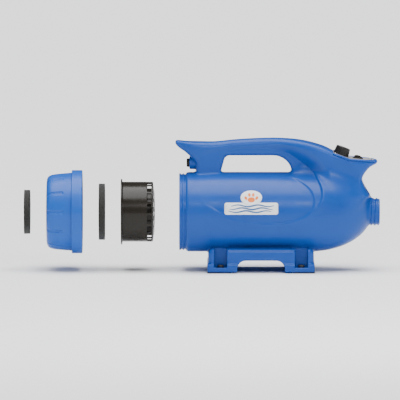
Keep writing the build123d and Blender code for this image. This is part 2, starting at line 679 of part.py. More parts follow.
def filter_basket():
    """Black cup for the inner filter: flange, barrel, and a caged end that lets the air out."""
    x = BASKET_X
    end = x + BASKET_LENGTH
    inner = BASKET_R - BASKET_WALL
    dome = ((end, inner + 1.0), (end + 0.7 * BASKET_DOME, 38.0), (end + BASKET_DOME, 12.0),
            (end + BASKET_DOME, 0))
    under = [(px - 2.4, r) for px, r in reversed(dome[1:])]
    cup = turned((x, inner), (x, BASKET_FLANGE_R - 0.6), (x + 0.6, BASKET_FLANGE_R),
                 (x + BASKET_FLANGE, BASKET_FLANGE_R), (x + BASKET_FLANGE, BASKET_R + 1.0),
                 (x + BASKET_FLANGE + 1.4, BASKET_R), (end - 1.2, BASKET_R), *dome, *under,
                 (end - 2.4, inner))
    ledge = x + FILTER_THICKNESS + 0.4
    cup += disc(ledge, ledge + 1.6, inner + 0.3, inner - 3.6)
    step = 360.0 / BASKET_WINDOWS
    wide = BASKET_R * sin(radians(0.39 * step))
    window = block(end - 11.5, end - 3.4, -wide, wide, BASKET_R - 6, BASKET_R + 3)
    for solid in around(window, BASKET_WINDOWS, step / 2):
        cup -= solid
    for slot in (block(end - 4, end + 5, -2.0, 2.0, 18, 32), block(end - 4, end + 5, -4.4, 4.4, 36, 51)):
        for solid in around(slot, BASKET_WINDOWS, step / 2):
            cup -= solid
    return cup


def basket_seat():
    """Ring fixed in the neck that the basket's flange rests on."""
    x0, x1 = BASKET_X + BASKET_FLANGE + 0.3, -150.0
    outer = NECK_BORE_R - 0.05
    return turned((x0, BASKET_R + 1.4), (x0, outer), (x1, outer), (x1, NECK_BORE_R - 2.5),
                  (x0 + 3.0, NECK_BORE_R - 2.5), (x0 + 3.0, BASKET_R + 1.4))


# ---- Motor --------------------------------------------------------------------------------------
def fan_case():
    """Pressed steel case of the two fan stages, with a rolled eye."""
    x0, x1, t = FAN_CASE_X, FAN_CASE_END, 1.2
    return turned((x0, FAN_EYE_R), (x0 - 2, FAN_EYE_R), (x0 - 2, FAN_EYE_R + t), (x0, FAN_EYE_R + t),
                  (x0, FAN_CASE_R - 3), (x0 + 3, FAN_CASE_R), (x1, FAN_CASE_R), (x1, FAN_CASE_R - t),
                  (x0 + 3.4, FAN_CASE_R - t), (x0 + t, FAN_CASE_R - 3.6), (x0 + t, FAN_EYE_R))


def impeller(x, width):
    """One fan stage: back plate, shroud and nine backward-curved blades on a hub."""
    radius = FAN_CASE_R - 5
    wheel = disc(x + width - 1.2, x + width, radius, SHAFT_R + 0.02)
    wheel += disc(x, x + 1.2, radius, FAN_EYE_R - 1)
    wheel += disc(x + width - 6, x + width, 10, SHAFT_R + 0.02)
    for k in range(9):
        path = ThreePointArc((0, 0, FAN_EYE_R - 3), (0, -9, 40), (0, -26, radius * 0.88))
        blade = extrude(make_face(offset(path, 0.6, side=Side.BOTH)), width - 1.0, dir=(1, 0, 0))
        wheel += Rot(40 * k, 0, 0) * Pos(x + 0.5, 0, 0) * blade
    return wheel


def diffuser():
    """Fixed plate between the fan stages, with return vanes."""
    x = -56.5
    plate = disc(x, x + 1.2, FAN_CASE_R - 1.3, 14)
    for k in range(8):
        vane = block(x + 1.0, x + 5.5, -0.6, 0.6, 24, 52)
        plate += Rot(45 * k, 0, 0) * Pos(0, 6, 0) * vane
    return plate


def motor_bracket():
    """Cast bracket that closes the fan case, holds the front bearing and carries the stator."""
    x = FAN_CASE_END
    cup = STATOR_R + 0.1
    bracket = turned((x, 8.2), (x, FAN_CASE_R), (x + 3, FAN_CASE_R), (x + 3, 48.0), (x + 6, 47.5),
                     (22.0, 47.5), (22.0, cup), (x + 6, cup), (x + 4, 16.0), (x + 12, 15.0),
                     (x + 12, 11.1), (x + 3, 11.1), (x + 3, 8.2))
    for k in range(8):
        bracket -= Rot(45 * k + 22.5, 0, 0) * block(x - 1, x + 9, -7, 7, 24, 38)
        bracket -= Rot(45 * k + 22.5, 0, 0) * block(x + 9, -18, -11, 11, 38, 60)
    return bracket


def motor_end():
    """Rear bracket with the second bearing and the arms that hold the brushes."""
    end = disc(48.0, 56.0, 15.5, 11.1) + disc(55.0, 58.0, 15.5)
    end -= disc(50, 59, SHAFT_R + 1.0)
    for k in range(4):
        end += Rot(90 * k + 45, 0, 0) * block(50.0, 56.0, -5, 5, 13, 47.5)
        end += Rot(90 * k + 45, 0, 0) * block(22.1, 56.0, -5, 5, 43.2, 47.5)
    return end


def stator():
    """Laminated field core with two pole shoes."""
    x0, x1 = STATOR_X
    core = disc(x0, x1, STATOR_R, 34) & block(x0, x1, -60, 60, -60, 60)
    for side in (-1, 1):
        pole = block(x0, x1, *sorted((side * 20, side * 35)), -9, 9)
        pole += block(x0, x1, *sorted((side * 20, side * 28)), -17, 17)
        core += pole - disc(x0 - 1, x1 + 1, ARMATURE_R + 0.6)
    return core - disc(x0 - 1, x1 + 1, ARMATURE_R + 0.6)


def field_coils():
    """Two field windings round the pole shoes."""
    x0, x1 = STATOR_X
    coils = []
    for side in (-1, 1):
        ys = sorted((side * 28.3, side * 32.6))
        coil = block(x0 - 6, x1 + 6, *ys, -14.5, 14.5)
        coil -= block(x0 - 0.3, x1 + 0.3, *sorted((side * 20, side * 40)), -9.3, 9.3)
        coils.append(coil & disc(x0 - 6, x1 + 6, 33.7))
    return coils


def armature():
    """Rotor core with its winding slots, drawn as a fluted cylinder."""
    x0, x1 = STATOR_X
    core = disc(x0, x1, ARMATURE_R, SHAFT_R + 0.02)
    for k in range(12):
        core -= Rot(30 * k, 0, 0) * block(x0 - 1, x1 + 1, -1.6, 1.6, 12, 21)
        core -= Rot(30 * k, 0, 0) * block(x0 - 1, x1 + 1, -0.8, 0.8, 20, 25)
    return core


def armature_windings():
    """Copper end turns at both ends of the rotor core."""
    x0, x1 = STATOR_X
    ends = []
    for a, b in ((x0 - 5.5, x0), (x1, x1 + 5.5)):
        ends.append(disc(a, b, 19.5, SHAFT_R + 0.02))
    return ends


def commutator():
    """Segmented copper commutator."""
    x0, x1 = COMMUTATOR_X
    drum = disc(x0, x1, COMMUTATOR_R, SHAFT_R + 0.02)
    for k in range(24):
        drum -= Rot(15 * k, 0, 0) * block(x0 - 1, x1 + 1, -0.25, 0.25, COMMUTATOR_R - 1, COMMUTATOR_R + 1)
    return drum


def brushes():
    """Two carbon brushes against the commutator."""
    x0, x1 = COMMUTATOR_X
    return [block(x0 + 2, x1 - 2, *sorted((s * (COMMUTATOR_R + 0.3), s * 34)), -3, 3) for s in (-1, 1)]


def brush_holders():
    """Two square brass guides for the brushes, on the rear bracket."""
    x0, x1 = COMMUTATOR_X
    holders = []
    for s in (-1, 1):
        guide = block(x0 - 0.5, x1 + 0.5, *sorted((s * 16, s * 42)), -5.2, 5.2)
        guide -= block(x0 + 1.9, x1 - 1.9, *sorted((s * 10, s * 41)), -3.1, 3.1)
        holders.append(guide)
    return holders


def bearing(x0, x1):
    """Ball bearing drawn as its two races and a ring of balls."""
    outer = disc(x0, x1, 11.0, 9.2)
    inner = disc(x0, x1, 5.8, SHAFT_R + 0.02)
    middle = (x0 + x1) / 2
    balls = [Rot(45 * k, 0, 0) * Pos(middle, 0, 7.5) * Sphere(1.65) for k in range(8)]
    return outer, inner, balls


def motor_gasket():
    """Rubber ring that seals the fan case in the barrel."""
    x = FAN_CASE_X
    outer, inner = BORE_R - 0.05, FAN_CASE_R + 0.05
    return turned((x - 5, 52.0), (x - 5, outer), (x + 14, outer), (x + 14, inner), (x + 3, inner),
                  (x - 0.1, FAN_CASE_R - 3), (x - 0.1, 52.0))


def rear_mount():
    """Rubber spider that centres the motor's outlet end in the barrel."""
    hub = disc(40.0, 47.0, 57.0, 48.4)
    for k in range(4):
        hub += Rot(90 * k, 0, 0) * block(40.0, 47.0, -9, 9, 56, BORE_R + 1)
    return hub & disc(39, 48, BORE_R - 0.05)


def sound_liner():
    """Foam sleeve that quiets the air round the motor."""
    return disc(-60.0, 36.0, BORE_R - 0.1, 66.0)


def shaft():
    """Rotor shaft through both bearings and both fan stages."""
    return disc(FAN_CASE_X + 3, 60.0, SHAFT_R)


def fan_nut():
    """Nut that clamps the fan stages on the shaft."""
    x = FAN_CASE_X + 5
    blank = Pos(x, 0, 0) * Rot(0, 90, 0) * extrude(RegularPolygon(7, 6), 4.5)
    return blank - disc(x - 1, x + 6, SHAFT_R + 0.02)


# ---- Wiring -------------------------------------------------------------------------------------
def supply_lead():
    """The supply cable inside the dryer: gland, rear post, handle, pylon, terminal block."""
    return cable(LEAD_R, (BOSS_X + 16.2, 0, BOSS_Z), (-108.0, 0, BOSS_Z), (-93.0, 0, 126.0),
                 (-30.0, 0, 130.0), (50.0, 0, 130.5), (108.0, 0, 119.0), (134.0, -2, 101.0),
                 (145.6, -4, 87.6))


def motor_leads():
    """Two leads from the board down through the barrel's wall to the brush guides."""
    return [cable(1.4, (149.0, s * 6, 79.4), (144.0, s * 8, 63.0), (112.0, s * 20, 50.0),
                  (78.0, s * 31, 32.0), (58.0, s * 36, 9.0), (41.2, s * 38, 2.0)) for s in (-1, 1)]


def side_labels():
    """Thin oval labels on both flanks of the barrel."""
    oval = extrude(Ellipse(LABEL_HALF_LENGTH, LABEL_HALF_HEIGHT), 100, both=True)
    oval = Pos(LABEL_X, 0, LABEL_Z) * Rot(90, 0, 0) * oval
    film = disc(LABEL_X - 60, LABEL_X + 60, BODY_R + LABEL_THICKNESS, BODY_R) & oval
    return sorted(film.solids(), key=lambda solid: solid.center().Y)


# ---- Output -------------------------------------------------------------------------------------
save("housing_barrel", housing_barrel())
save("handle_shell", handle_shell())
save("base_plinth", base_plinth())
save("side_labels", *side_labels())
save("basket_seat", basket_seat())
save("rubber_feet", *rubber_feet())
save("foot_grommets", *foot_grommets())
save("cable_gland", cable_gland())
save("control_panel", control_panel())
save("panel_screws", *panel_screws())
save("switch_frame", switch_frame())
save("power_rocker", power_rocker())
save("speed_knob", speed_knob())
save("knob_pointer", knob_pointer())
save("potentiometer_shaft", potentiometer_shaft())
save("potentiometer", potentiometer())
save("potentiometer_nut", potentiometer_nut())
save("switch_leads", *switch_leads())
save("control_board", control_board())
for node, solid in zip(("heat_sink", "suppression_capacitor", "terminal_block"), board_parts()):
    save(node, solid)
save("intake_cap", intake_cap(), pull=CAP_PULL)
save("cap_seal", cap_seal(), pull=CAP_PULL)
save("outer_filter", filter_disc(CAP_FACE_X + 1.3, OUTER_FILTER_R), pull=OUTER_FILTER_PULL)
save("inner_filter", filter_disc(BASKET_X, INNER_FILTER_R), pull=INNER_FILTER_PULL)
save("filter_basket", filter_basket(), pull=BASKET_PULL)
save("fan_case", fan_case())
save("first_impeller", impeller(-71.5, 12.5))
save("second_impeller", impeller(-49.5, 13.0))
save("diffuser_plate", diffuser())
save("motor_bracket", motor_bracket())
save("motor_end_bracket", motor_end())
save("stator_core", stator())
save("field_coils", *field_coils())
save("armature_core", armature())
save("armature_windings", *armature_windings())
save("commutator", commutator())
save("carbon_brushes", *brushes())
save("brush_holders", *brush_holders())
save("motor_shaft", shaft())
save("fan_nut", fan_nut())
for name, (x0, x1) in {"front": (-31.0, -24.0), "rear": (48.0, 55.0)}.items():
    outer, inner, balls = bearing(x0, x1)
    save(f"{name}_bearing_race", outer)
    save(f"{name}_bearing_hub", inner)
    save(f"{name}_bearing_balls", *balls)
save("motor_gasket", motor_gasket())
save("motor_rear_mount", rear_mount())
save("sound_liner", sound_liner())
save("supply_lead", supply_lead())
save("motor_leads", *motor_leads())
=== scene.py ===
"""Looks of a portable pet dryer: its blue moulding, intake parts, controls and label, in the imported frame.

Shapes are drawn in millimetres about the air axis (X towards the outlet, Z up) and placed in metres.
"""
import json
from math import cos, pi, radians, sin

import bmesh
import bpy
import numpy as np
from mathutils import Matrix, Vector


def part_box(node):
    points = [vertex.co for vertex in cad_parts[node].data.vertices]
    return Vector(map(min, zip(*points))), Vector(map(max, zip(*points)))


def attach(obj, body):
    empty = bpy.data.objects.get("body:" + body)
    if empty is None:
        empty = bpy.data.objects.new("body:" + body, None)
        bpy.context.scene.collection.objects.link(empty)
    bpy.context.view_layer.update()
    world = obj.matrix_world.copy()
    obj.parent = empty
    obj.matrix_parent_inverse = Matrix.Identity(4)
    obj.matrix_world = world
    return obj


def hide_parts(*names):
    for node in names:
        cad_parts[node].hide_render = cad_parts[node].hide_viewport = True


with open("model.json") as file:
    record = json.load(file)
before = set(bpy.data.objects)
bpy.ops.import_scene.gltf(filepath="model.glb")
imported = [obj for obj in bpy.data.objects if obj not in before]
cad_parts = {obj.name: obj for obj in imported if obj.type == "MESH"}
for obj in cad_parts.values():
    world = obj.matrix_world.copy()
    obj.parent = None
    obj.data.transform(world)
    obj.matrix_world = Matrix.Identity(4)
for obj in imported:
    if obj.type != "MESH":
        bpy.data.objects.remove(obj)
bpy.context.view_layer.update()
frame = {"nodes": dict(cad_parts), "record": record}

MM = 0.001
# Bodies the pieces ride on
HOUSING, CAP, BASKET = "housing", "cap", "basket"
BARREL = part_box("housing_barrel")
AXIS_Z = (BARREL[0][2] + BARREL[1][2]) / 2 / MM
RIM_X = BARREL[0][0] / MM
SPOUT_END_X = BARREL[1][0] / MM
BODY_R = (BARREL[1][1] - BARREL[0][1]) / 2 / MM
WALL = 6.0
# Grid cells of the three moulded meshes
COARSE = 1.0
BODY_CELL = 2.5 * COARSE
CAP_CELL = 1.6 * COARSE
BASKET_CELL = 1.15 * COARSE

# Barrel
SHOULDER_X = RIM_X + 12.8
SHOULDER_R = 6.0
NOSE_X = 100.0
NOSE_LENGTH = 122.6
SPOUT_X = 217.0
SPOUT_R = 25.8
THREAD_R = 27.6
THREAD_PITCH = 7.4
BORE_R = 22.0
NECK_R = 75.0
BEAD_R = 76.6
NECK_BORE_R = 71.0
NECK_BORE_END_X = -146.0
# Cord boss, lying along the top of the barrel under the rear horn
BOSS_X = -125.0
BOSS_Z = 98.5
BOSS_R = 13.0
BOSS_HALF = 18.0
# How far the flank rises just outside the crease, and just outside the pad's edge (at the rear, and extra
# ahead), and over what distance each rise dies away
CREASE_RISE, CREASE_FADE = 4.8, 38.0
RIM_RISE, RIM_FADE = (0.9, 1.3), 30.0
# How far the pylon's foot flares on each side, and the blends of the barrel with the saddle (at the rear,
# and extra ahead) and with the plinth
FLARE = 7.0
SADDLE_BLEND = (5.0, 20.0)
PLINTH_BLEND = 4.0
# Foot block: half sizes, and middles as heights above the floor
FLANGE_HALF, FLANGE_MID = (107.0, 77.0, 8.2), 10.2
BLOCK_HALF, BLOCK_MID = (105.5, 72.5, 35.0), 14.0
ARCH_HALF, ARCH_MID = (47.5, 200.0, 40.0), -15.0
POCKET_HALF, POCKET_MID = (12.8, 20.0, 50.0), 58.5
LIP_HALF, LIP_MID = (20.0, 3.2, 6.5), 5.0
POCKET_X = 80.5
SOLE = 2.0
# Lips beside the control panel: half sizes, and how far outside the panel's edge and below the pylon's top
# line they lie
PANEL_LIP_HALF = (2.9, 2.1)
PANEL_LIP_OUT = 2.1
PANEL_LIP_DOWN = 1.9
# Intake cap: its skirt, bore, inner wall and seat, then the recess in its face and the wall round that
CAP_SKIRT_R = 83.2
CAP_BORE_R = 77.2
CAP_WALL_R = 73.6
CAP_SEAT_R = 71.0
CAP_RECESS_R = 45.2
CAP_PLUG_R = 48.2
FLUTES = 12
FLUTE_DEPTH = 1.25
GRILLE_RINGS = ((8.0, 17.0), (21.0, 29.0), (33.0, 41.5))
# Filter cup: its wall, bore and flange, and the windows at its far end
CUP_R = 59.8
CUP_BORE_R = 57.6
CUP_FLANGE_R = 65.5
CUP_WINDOWS = 16
WINDOW_HALF_ANGLE = 8.8
# Foam: radius of its cut edge, and how far its pores reach in and out
FOAM_EDGE = 0.6
FOAM_PORES = (-0.34, 0.06)
# Print: levels above the flank, and the level its edges are sunk to
LABEL_X = -19.5
BAND_LEVEL, ROUND_LEVEL, WAVE_LEVEL, PAW_LEVEL = 0.12, 0.16, 0.24, 0.26
SUNK = -0.3
BAND = ((-73, 1), (34, 1), (34, 25), (-73, 25))
WAVE_HEIGHTS = (7.2, 13.0, 18.8)
TOES = ((-30.3, 34.6, 28), (-23.4, 41.6, 8), (-15.6, 41.6, -8), (-8.7, 34.6, -28))
# Stage and camera, in metres and degrees
FLOOR_RINGS = (1.0, 4.0, 16.0, 70.0)
FLOOR_SIDES = 48
SKY, SKY_STRENGTH = (0.93, 0.96, 1.0, 1.0), 0.1
SUN_STRENGTH, SUN_SPREAD, SUN_LEAN = 6.0, 60.0, 4.0
# Soft boxes: name, place, aim, size and power
BOXES = (("key_box", (0.25, -1.75, 1.1), (0.0, 0.0, 0.12), (0.8, 0.15), 12.0),
         ("left_box", (-1.9, -1.5, 1.5), (-0.3, 0.0, 0.12), (0.5, 0.7), 3.0),
         ("side_box", (1.5, -0.9, 0.6), (0.15, 0.0, 0.12), (0.3, 0.8), 3.5))
VIEW_TARGET = (-0.1216, 0.0, 0.1405)
VIEW_DISTANCE = 16.0
VIEW_ELEVATION = 5.0
LENS, SENSOR = 720.0, 36.0


# ---- Numbers and curves -------------------------------------------------------------------------
def through(points, per=8):
    """A smooth open curve through points, as a dense polyline."""
    p = np.array(points, float)
    p = np.vstack([2 * p[0] - p[1], p, 2 * p[-1] - p[-2]])
    t = np.linspace(0, 1, per, endpoint=False)[:, None]
    runs = []
    for a, b, c, d in zip(p, p[1:], p[2:], p[3:]):
        square, cube = (2 * a - 5 * b + 4 * c - d) * t**2, (3 * b - a - 3 * c + d) * t**3
        runs.append(0.5 * (2 * b + (c - a) * t + square + cube))
    return np.vstack(runs + [p[-2][None]])


def arc(cx, cz, r, start, end, steps=10, rz=None):
    """Points of a circular or elliptic arc, angles in degrees."""
    a = np.radians(np.linspace(start, end, steps))
    return np.stack([cx + r * np.cos(a), cz + (rz or r) * np.sin(a)], 1)


def step(t):
    """Smooth step from 0 to 1."""
    t = np.clip(t, 0, 1)
    return t * t * (3 - 2 * t)


def ramp(value, start, end):
    """Smooth step from 0 at the start to 1 at the end."""
    return step((value - start) / (end - start))


def join(a, b, k):
    """Union of two distance fields with a blend of width k."""
    h = np.clip(0.5 + 0.5 * (b - a) / k, 0, 1)
    return b * (1 - h) + a * h - k * h * (1 - h)


def meet(a, b, k):
    """Intersection of two distance fields with a rounded edge of width k."""
    return -join(-a, -b, k)


def block_field(x, y, z, centre, half, r=0.0):
    """Distance to a box with rounded edges."""
    q = [np.abs(v - c) - h + r for v, c, h in zip((x, y, z), centre, half)]
    outside = np.sqrt(sum(np.maximum(v, 0) ** 2 for v in q))
    return outside + np.minimum(np.maximum(np.maximum(q[0], q[1]), q[2]), 0) - r


class Outline:
    """Signed distance to a closed outline in a plane, negative inside, read from a fine grid."""

    def __init__(self, points, margin=45.0, pitch=1.5):
        p = np.asarray(points, float)
        self.low = p.min(0) - margin
        size = ((p.max(0) + margin - self.low) / pitch).astype(int) + 2
        self.pitch = pitch
        u = self.low[0] + pitch * np.arange(size[0])
        v = self.low[1] + pitch * np.arange(size[1])
        gu, gv = np.meshgrid(u, v, indexing="ij")
        best = np.full(gu.shape, 1e9)
        inside = np.zeros(gu.shape, bool)
        for a, b in zip(p, np.roll(p, -1, 0)):
            e = b - a
            t = np.clip(((gu - a[0]) * e[0] + (gv - a[1]) * e[1]) / max(e @ e, 1e-9), 0, 1)
            best = np.minimum(best, (gu - a[0] - t * e[0]) ** 2 + (gv - a[1] - t * e[1]) ** 2)
            if a[1] != b[1]:
                cross = (a[1] > gv) != (b[1] > gv)
                inside ^= cross & (gu < a[0] + (gv - a[1]) * e[0] / e[1])
        self.grid = np.sqrt(best) * np.where(inside, -1, 1)

    def __call__(self, u, v):
        s = np.clip((u - self.low[0]) / self.pitch, 0, self.grid.shape[0] - 1.001)
        t = np.clip((v - self.low[1]) / self.pitch, 0, self.grid.shape[1] - 1.001)
        i, j = s.astype(int), t.astype(int)
        s, t = s - i, t - j
        g = self.grid
        near = g[i, j] * (1 - s) + g[i + 1, j] * s
        far = g[i, j + 1] * (1 - s) + g[i + 1, j + 1] * s
        return near * (1 - t) + far * t


# ---- The blue moulding's outlines, about the air axis -------------------------------------------
REAR_HORN = ((-129.6, 60.0), (-129.8, 80.0), (-130.4, 98.0), (-138.5, 109.5), (-151.0, 121.0),
             (-162.6, 129.0), (-168.6, 134.4))
HORN_TIP = ((-168.6, 134.4), (-171.0, 138.4), (-170.2, 142.2), (-166.4, 143.4))
HANDLE_TOP = ((-166.4, 143.4), (-147.0, 141.4), (-117.0, 140.9), (-87.0, 141.6), (-50.0, 145.5),
              (10.0, 148.5), (50.0, 147.5), (86.0, 142.5), (122.0, 132.0), (144.0, 121.5))
PANEL_BEND = (176.0, 109.5)
PANEL_END = (231.0, 104.8)
FRONT_TIP = ((231.0, 104.8), (233.2, 101.8), (231.0, 97.4))
FRONT_HORN = ((231.0, 97.4), (218.4, 91.5), (210.4, 83.5), (203.6, 73.0), (202.4, 63.0), (206.4, 47.5),
              (213.0, 34.0))
SADDLE_FOOT = ((182.0, 20.0), (100.0, 50.0), (-122.0, 50.0))
GRIP_X = (-79.6, 61.4)
GRIP_TOP = 113.5
# The crease that runs round the label, up the pylon's flank and along the handle.
CREASE = ((-131.0, 78.0), (-127.0, 52.0), (-115.0, 30.0), (-97.0, 15.5), (-78.0, 3.0), (-60.0, -7.0),
          (-22.0, -17.5), (20.0, -20.5), (56.0, -18.0), (84.0, -9.5), (104.0, 5.0), (117.0, 22.0),
          (122.5, 40.0), (119.0, 58.0), (109.0, 76.0), (95.0, 91.5), (76.0, 106.5), (54.4, 119.5),
          (30.0, 127.0), (0.0, 130.0), (-40.0, 129.0), (-80.0, 125.0), (-108.0, 118.0), (-125.0, 102.0))
# The raised edge round the smooth oval that carries the label.
PAD = ((-128.0, 60.0), (-115.0, 30.0), (-97.0, 15.5), (-78.0, 3.0), (-60.0, -7.0), (-22.0, -14.5),
       (20.0, -17.0), (50.0, -15.0), (76.0, -7.5), (94.0, 3.0), (103.5, 17.0), (105.0, 31.0), (99.5, 46.0),
       (86.0, 59.0), (66.0, 70.0), (40.0, 77.0), (0.0, 82.0), (-60.0, 86.0), (-110.0, 86.0))
# Half width of the handle and pylon, outside the crease and inside it, along the axis.
WIDTH_OUT = ((-175.0, 12.0), (-160.0, 17.5), (-146.0, 21.5), (-126.0, 23.0), (-98.0, 20.5),
             (-70.0, 18.0), (-20.0, 18.0), (20.0, 19.0), (45.0, 22.5), (70.0, 29.0), (100.0, 37.0),
             (130.0, 41.5), (165.0, 42.0), (205.0, 36.0), (222.0, 27.0), (240.0, 13.0))
WIDTH_IN = ((-175.0, 12.0), (-160.0, 17.5), (-146.0, 21.5), (-126.0, 23.0), (-98.0, 19.5),
            (-76.0, 16.8), (-40.0, 16.4), (0.0, 16.2), (30.0, 15.6), (62.0, 17.0), (90.0, 18.0),
            (125.0, 20.0), (240.0, 20.0))
PANEL_X = (145.0, 226.0)
PANEL_INSET = 5.0
PANEL_DEPTH = 3.5


def barrel_outline():
    """Outer outline of the barrel: distance along the axis and radius."""
    nose = arc(NOSE_X, 0, NOSE_LENGTH, 90, 22, 40, rz=BODY_R)
    root = through([nose[-1], (SPOUT_X - 2.6, SPOUT_R + 3.4), (SPOUT_X + 0.4, SPOUT_R + 0.4),
                    (SPOUT_X + 4, SPOUT_R)], 6)
    shoulder = arc(SHOULDER_X + SHOULDER_R, BODY_R - SHOULDER_R, SHOULDER_R, 180, 90, 8)
    return np.vstack([[(SHOULDER_X, 0)], shoulder, nose, root[1:], [(SPOUT_X + 4, 0)]])


def hollow_outline():
    """Outline of the barrel's air space and the outlet's bore."""
    nose = arc(NOSE_X, 0, NOSE_LENGTH - WALL, 90, 18, 30, rz=BODY_R - WALL)
    neck = [(RIM_X - 9, 0), (RIM_X - 9, NECK_BORE_R), (NECK_BORE_END_X, NECK_BORE_R),
            (NECK_BORE_END_X + 4, BODY_R - WALL)]
    return np.vstack([neck, nose, [(SPOUT_X, BORE_R), (SPOUT_END_X + 9, BORE_R), (SPOUT_END_X + 9, 0)]])


def saddle_outline():
    """Side outline of the rear horn, handle and control pylon."""
    panel = [PANEL_BEND, PANEL_END]
    return np.vstack([through(REAR_HORN), through(HORN_TIP), through(HANDLE_TOP), panel, through(FRONT_TIP),
                      through(FRONT_HORN), SADDLE_FOOT])


def grip_outline():
    """Side outline of the finger opening."""
    left, right = GRIP_X
    corner = arc(left + 17.0, GRIP_TOP - 11.0, 11.0, 172, 90, 8)
    sweep = arc(24.0, 79.0, right - 24.0, 90, 0, 16, rz=GRIP_TOP - 79.0)
    return np.vstack([[(left, 60.0), (left + 0.6, 84.0)], corner, sweep, [(right, 60.0)]])


BARREL_FIELD = Outline(barrel_outline())
HOLLOW_FIELD = Outline(hollow_outline())
SADDLE_FIELD = Outline(saddle_outline())
GRIP_FIELD = Outline(grip_outline())
CREASE_FIELD = Outline(through(CREASE + CREASE[:1], 6))
PAD_FIELD = Outline(through(PAD + PAD[:1], 6))
OUT = through(WIDTH_OUT, 6)
IN = through(WIDTH_IN, 6)


def panel_height(x):
    """Height of the pylon's top outline over the control panel."""
    return np.interp(x, *zip(HANDLE_TOP[-1], PANEL_BEND, PANEL_END))


def floor(height):
    """A height above the floor as a height about the air axis."""
    return height - AXIS_Z


def plinth_field(x, y, z):
    """Foot block: flange, body with rounded shoulders, the arch between the feet, and lipped bolt pockets."""
    ax, ay = np.abs(x), np.abs(y)
    flange = block_field(x, y, z, (0, 0, floor(FLANGE_MID)), FLANGE_HALF, 3.0)
    body = block_field(x, y, z, (0, 0, floor(BLOCK_MID)), BLOCK_HALF, 11.0)
    d = join(flange, body, 3.0)
    arch = block_field(x, y, z, (0, 0, floor(ARCH_MID)), ARCH_HALF, 17.0)
    d = meet(d, -arch, 2.4)
    pocket = block_field(ax, ay, z, (POCKET_X, 70, floor(POCKET_MID)), POCKET_HALF, 1.0)
    lip = block_field(ax, ay, z, (POCKET_X, FLANGE_HALF[1], floor(LIP_MID)), LIP_HALF, 0.6)
    d = meet(d, -meet(pocket, -lip, 1.0), 1.6)
    return meet(d, floor(SOLE) - z, 0.8)


def body_field(x, y, z):
    """Distance to the whole blue moulding, without the neck's rings and the outlet's thread."""
    r = np.sqrt(y * y + z * z)
    crease, pad = CREASE_FIELD(x, z), PAD_FIELD(x, z)
    side = ramp(np.abs(y), 20, 45) * ramp(x, -132, -92)
    roll = ramp(crease, -4.0, 2.5) * np.exp(-np.maximum(crease, 0) / CREASE_FADE)
    roll = roll * ramp(z, 2, 38) * ramp(x, 10, 60)
    rim = ramp(pad, -2.0, 3.5) * np.exp(-np.maximum(pad, 0) / RIM_FADE)
    rim_rise = RIM_RISE[0] + RIM_RISE[1] * ramp(x, -20, 40)
    barrel = BARREL_FIELD(x, r) - side * (CREASE_RISE * roll + rim_rise * rim)

    outer = np.interp(x, OUT[:, 0], OUT[:, 1])
    inner = np.interp(x, IN[:, 0], IN[:, 1])
    t = np.clip((crease + 1.0) / np.interp(x, [0, 60, 110], [12, 20, 30]), 0, 1)
    width = inner + (outer - inner) * np.sin(pi / 2 * t)
    flare = FLARE * ramp(z, 62, 22) * ramp(x, 110, 140)
    edge = np.interp(x, [-160, -100, 60, 140], [6, 16, 17, 10])
    saddle = meet(SADDLE_FIELD(x, z), np.abs(y) - width - flare, edge)
    saddle = meet(saddle, -GRIP_FIELD(x, z), 9.0)
    boss = meet(np.sqrt(y * y + (z - BOSS_Z) ** 2) - BOSS_R, np.abs(x - BOSS_X) - BOSS_HALF, 2.5)
    saddle = join(saddle, boss, 2.5)

    d = join(barrel, saddle, SADDLE_BLEND[0] + SADDLE_BLEND[1] * ramp(x, 50, 85))
    d = join(d, plinth_field(x, y, z), PLINTH_BLEND)
    recess = np.maximum(panel_height(x) - PANEL_DEPTH - z, np.abs(y) - outer - 8.0)
    recess = np.maximum(recess, np.maximum(PANEL_X[0] - x, x - PANEL_X[1]))
    d = meet(d, -recess, 1.6)
    return meet(d, -HOLLOW_FIELD(x, r), 0.8)


# ---- Meshes -------------------------------------------------------------------------------------
def place(name, verts, faces, body, material, normals=None):
    """A new piece from points in millimetres about the air axis."""
    mesh = bpy.data.meshes.new(name)
    points = np.asarray(verts, float) * MM
    points[:, 2] += AXIS_Z * MM
    mesh.from_pydata(points.tolist(), [], faces if isinstance(faces, list) else faces.tolist())
    mesh.validate()
    mesh.shade_smooth()
    if normals is not None:
        mesh.normals_split_custom_set_from_vertices(normals.tolist())
    obj = bpy.data.objects.new(name, mesh)
    bpy.context.collection.objects.link(obj)
    mesh.materials.append(material)
    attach(obj, body)
    return obj


def settle(piece):
    """Turns a piece's faces outwards."""
    mesh = bmesh.new()
    mesh.from_mesh(piece.data)
    bmesh.ops.recalc_face_normals(mesh, faces=mesh.faces)
    mesh.to_mesh(piece.data)
    mesh.free()


def quads(rows, n):
    """Faces between successive rings of n points."""
    return [(i * n + j, i * n + (j + 1) % n, (i + 1) * n + (j + 1) % n, (i + 1) * n + j)
            for i in range(rows - 1) for j in range(n)]


def gradient(field, points, reach):
    """Slope of a distance field at each point."""
    return np.stack([(field(*(points + reach * e).T) - field(*(points - reach * e).T)) / (2 * reach)
                     for e in np.eye(3)], 1)


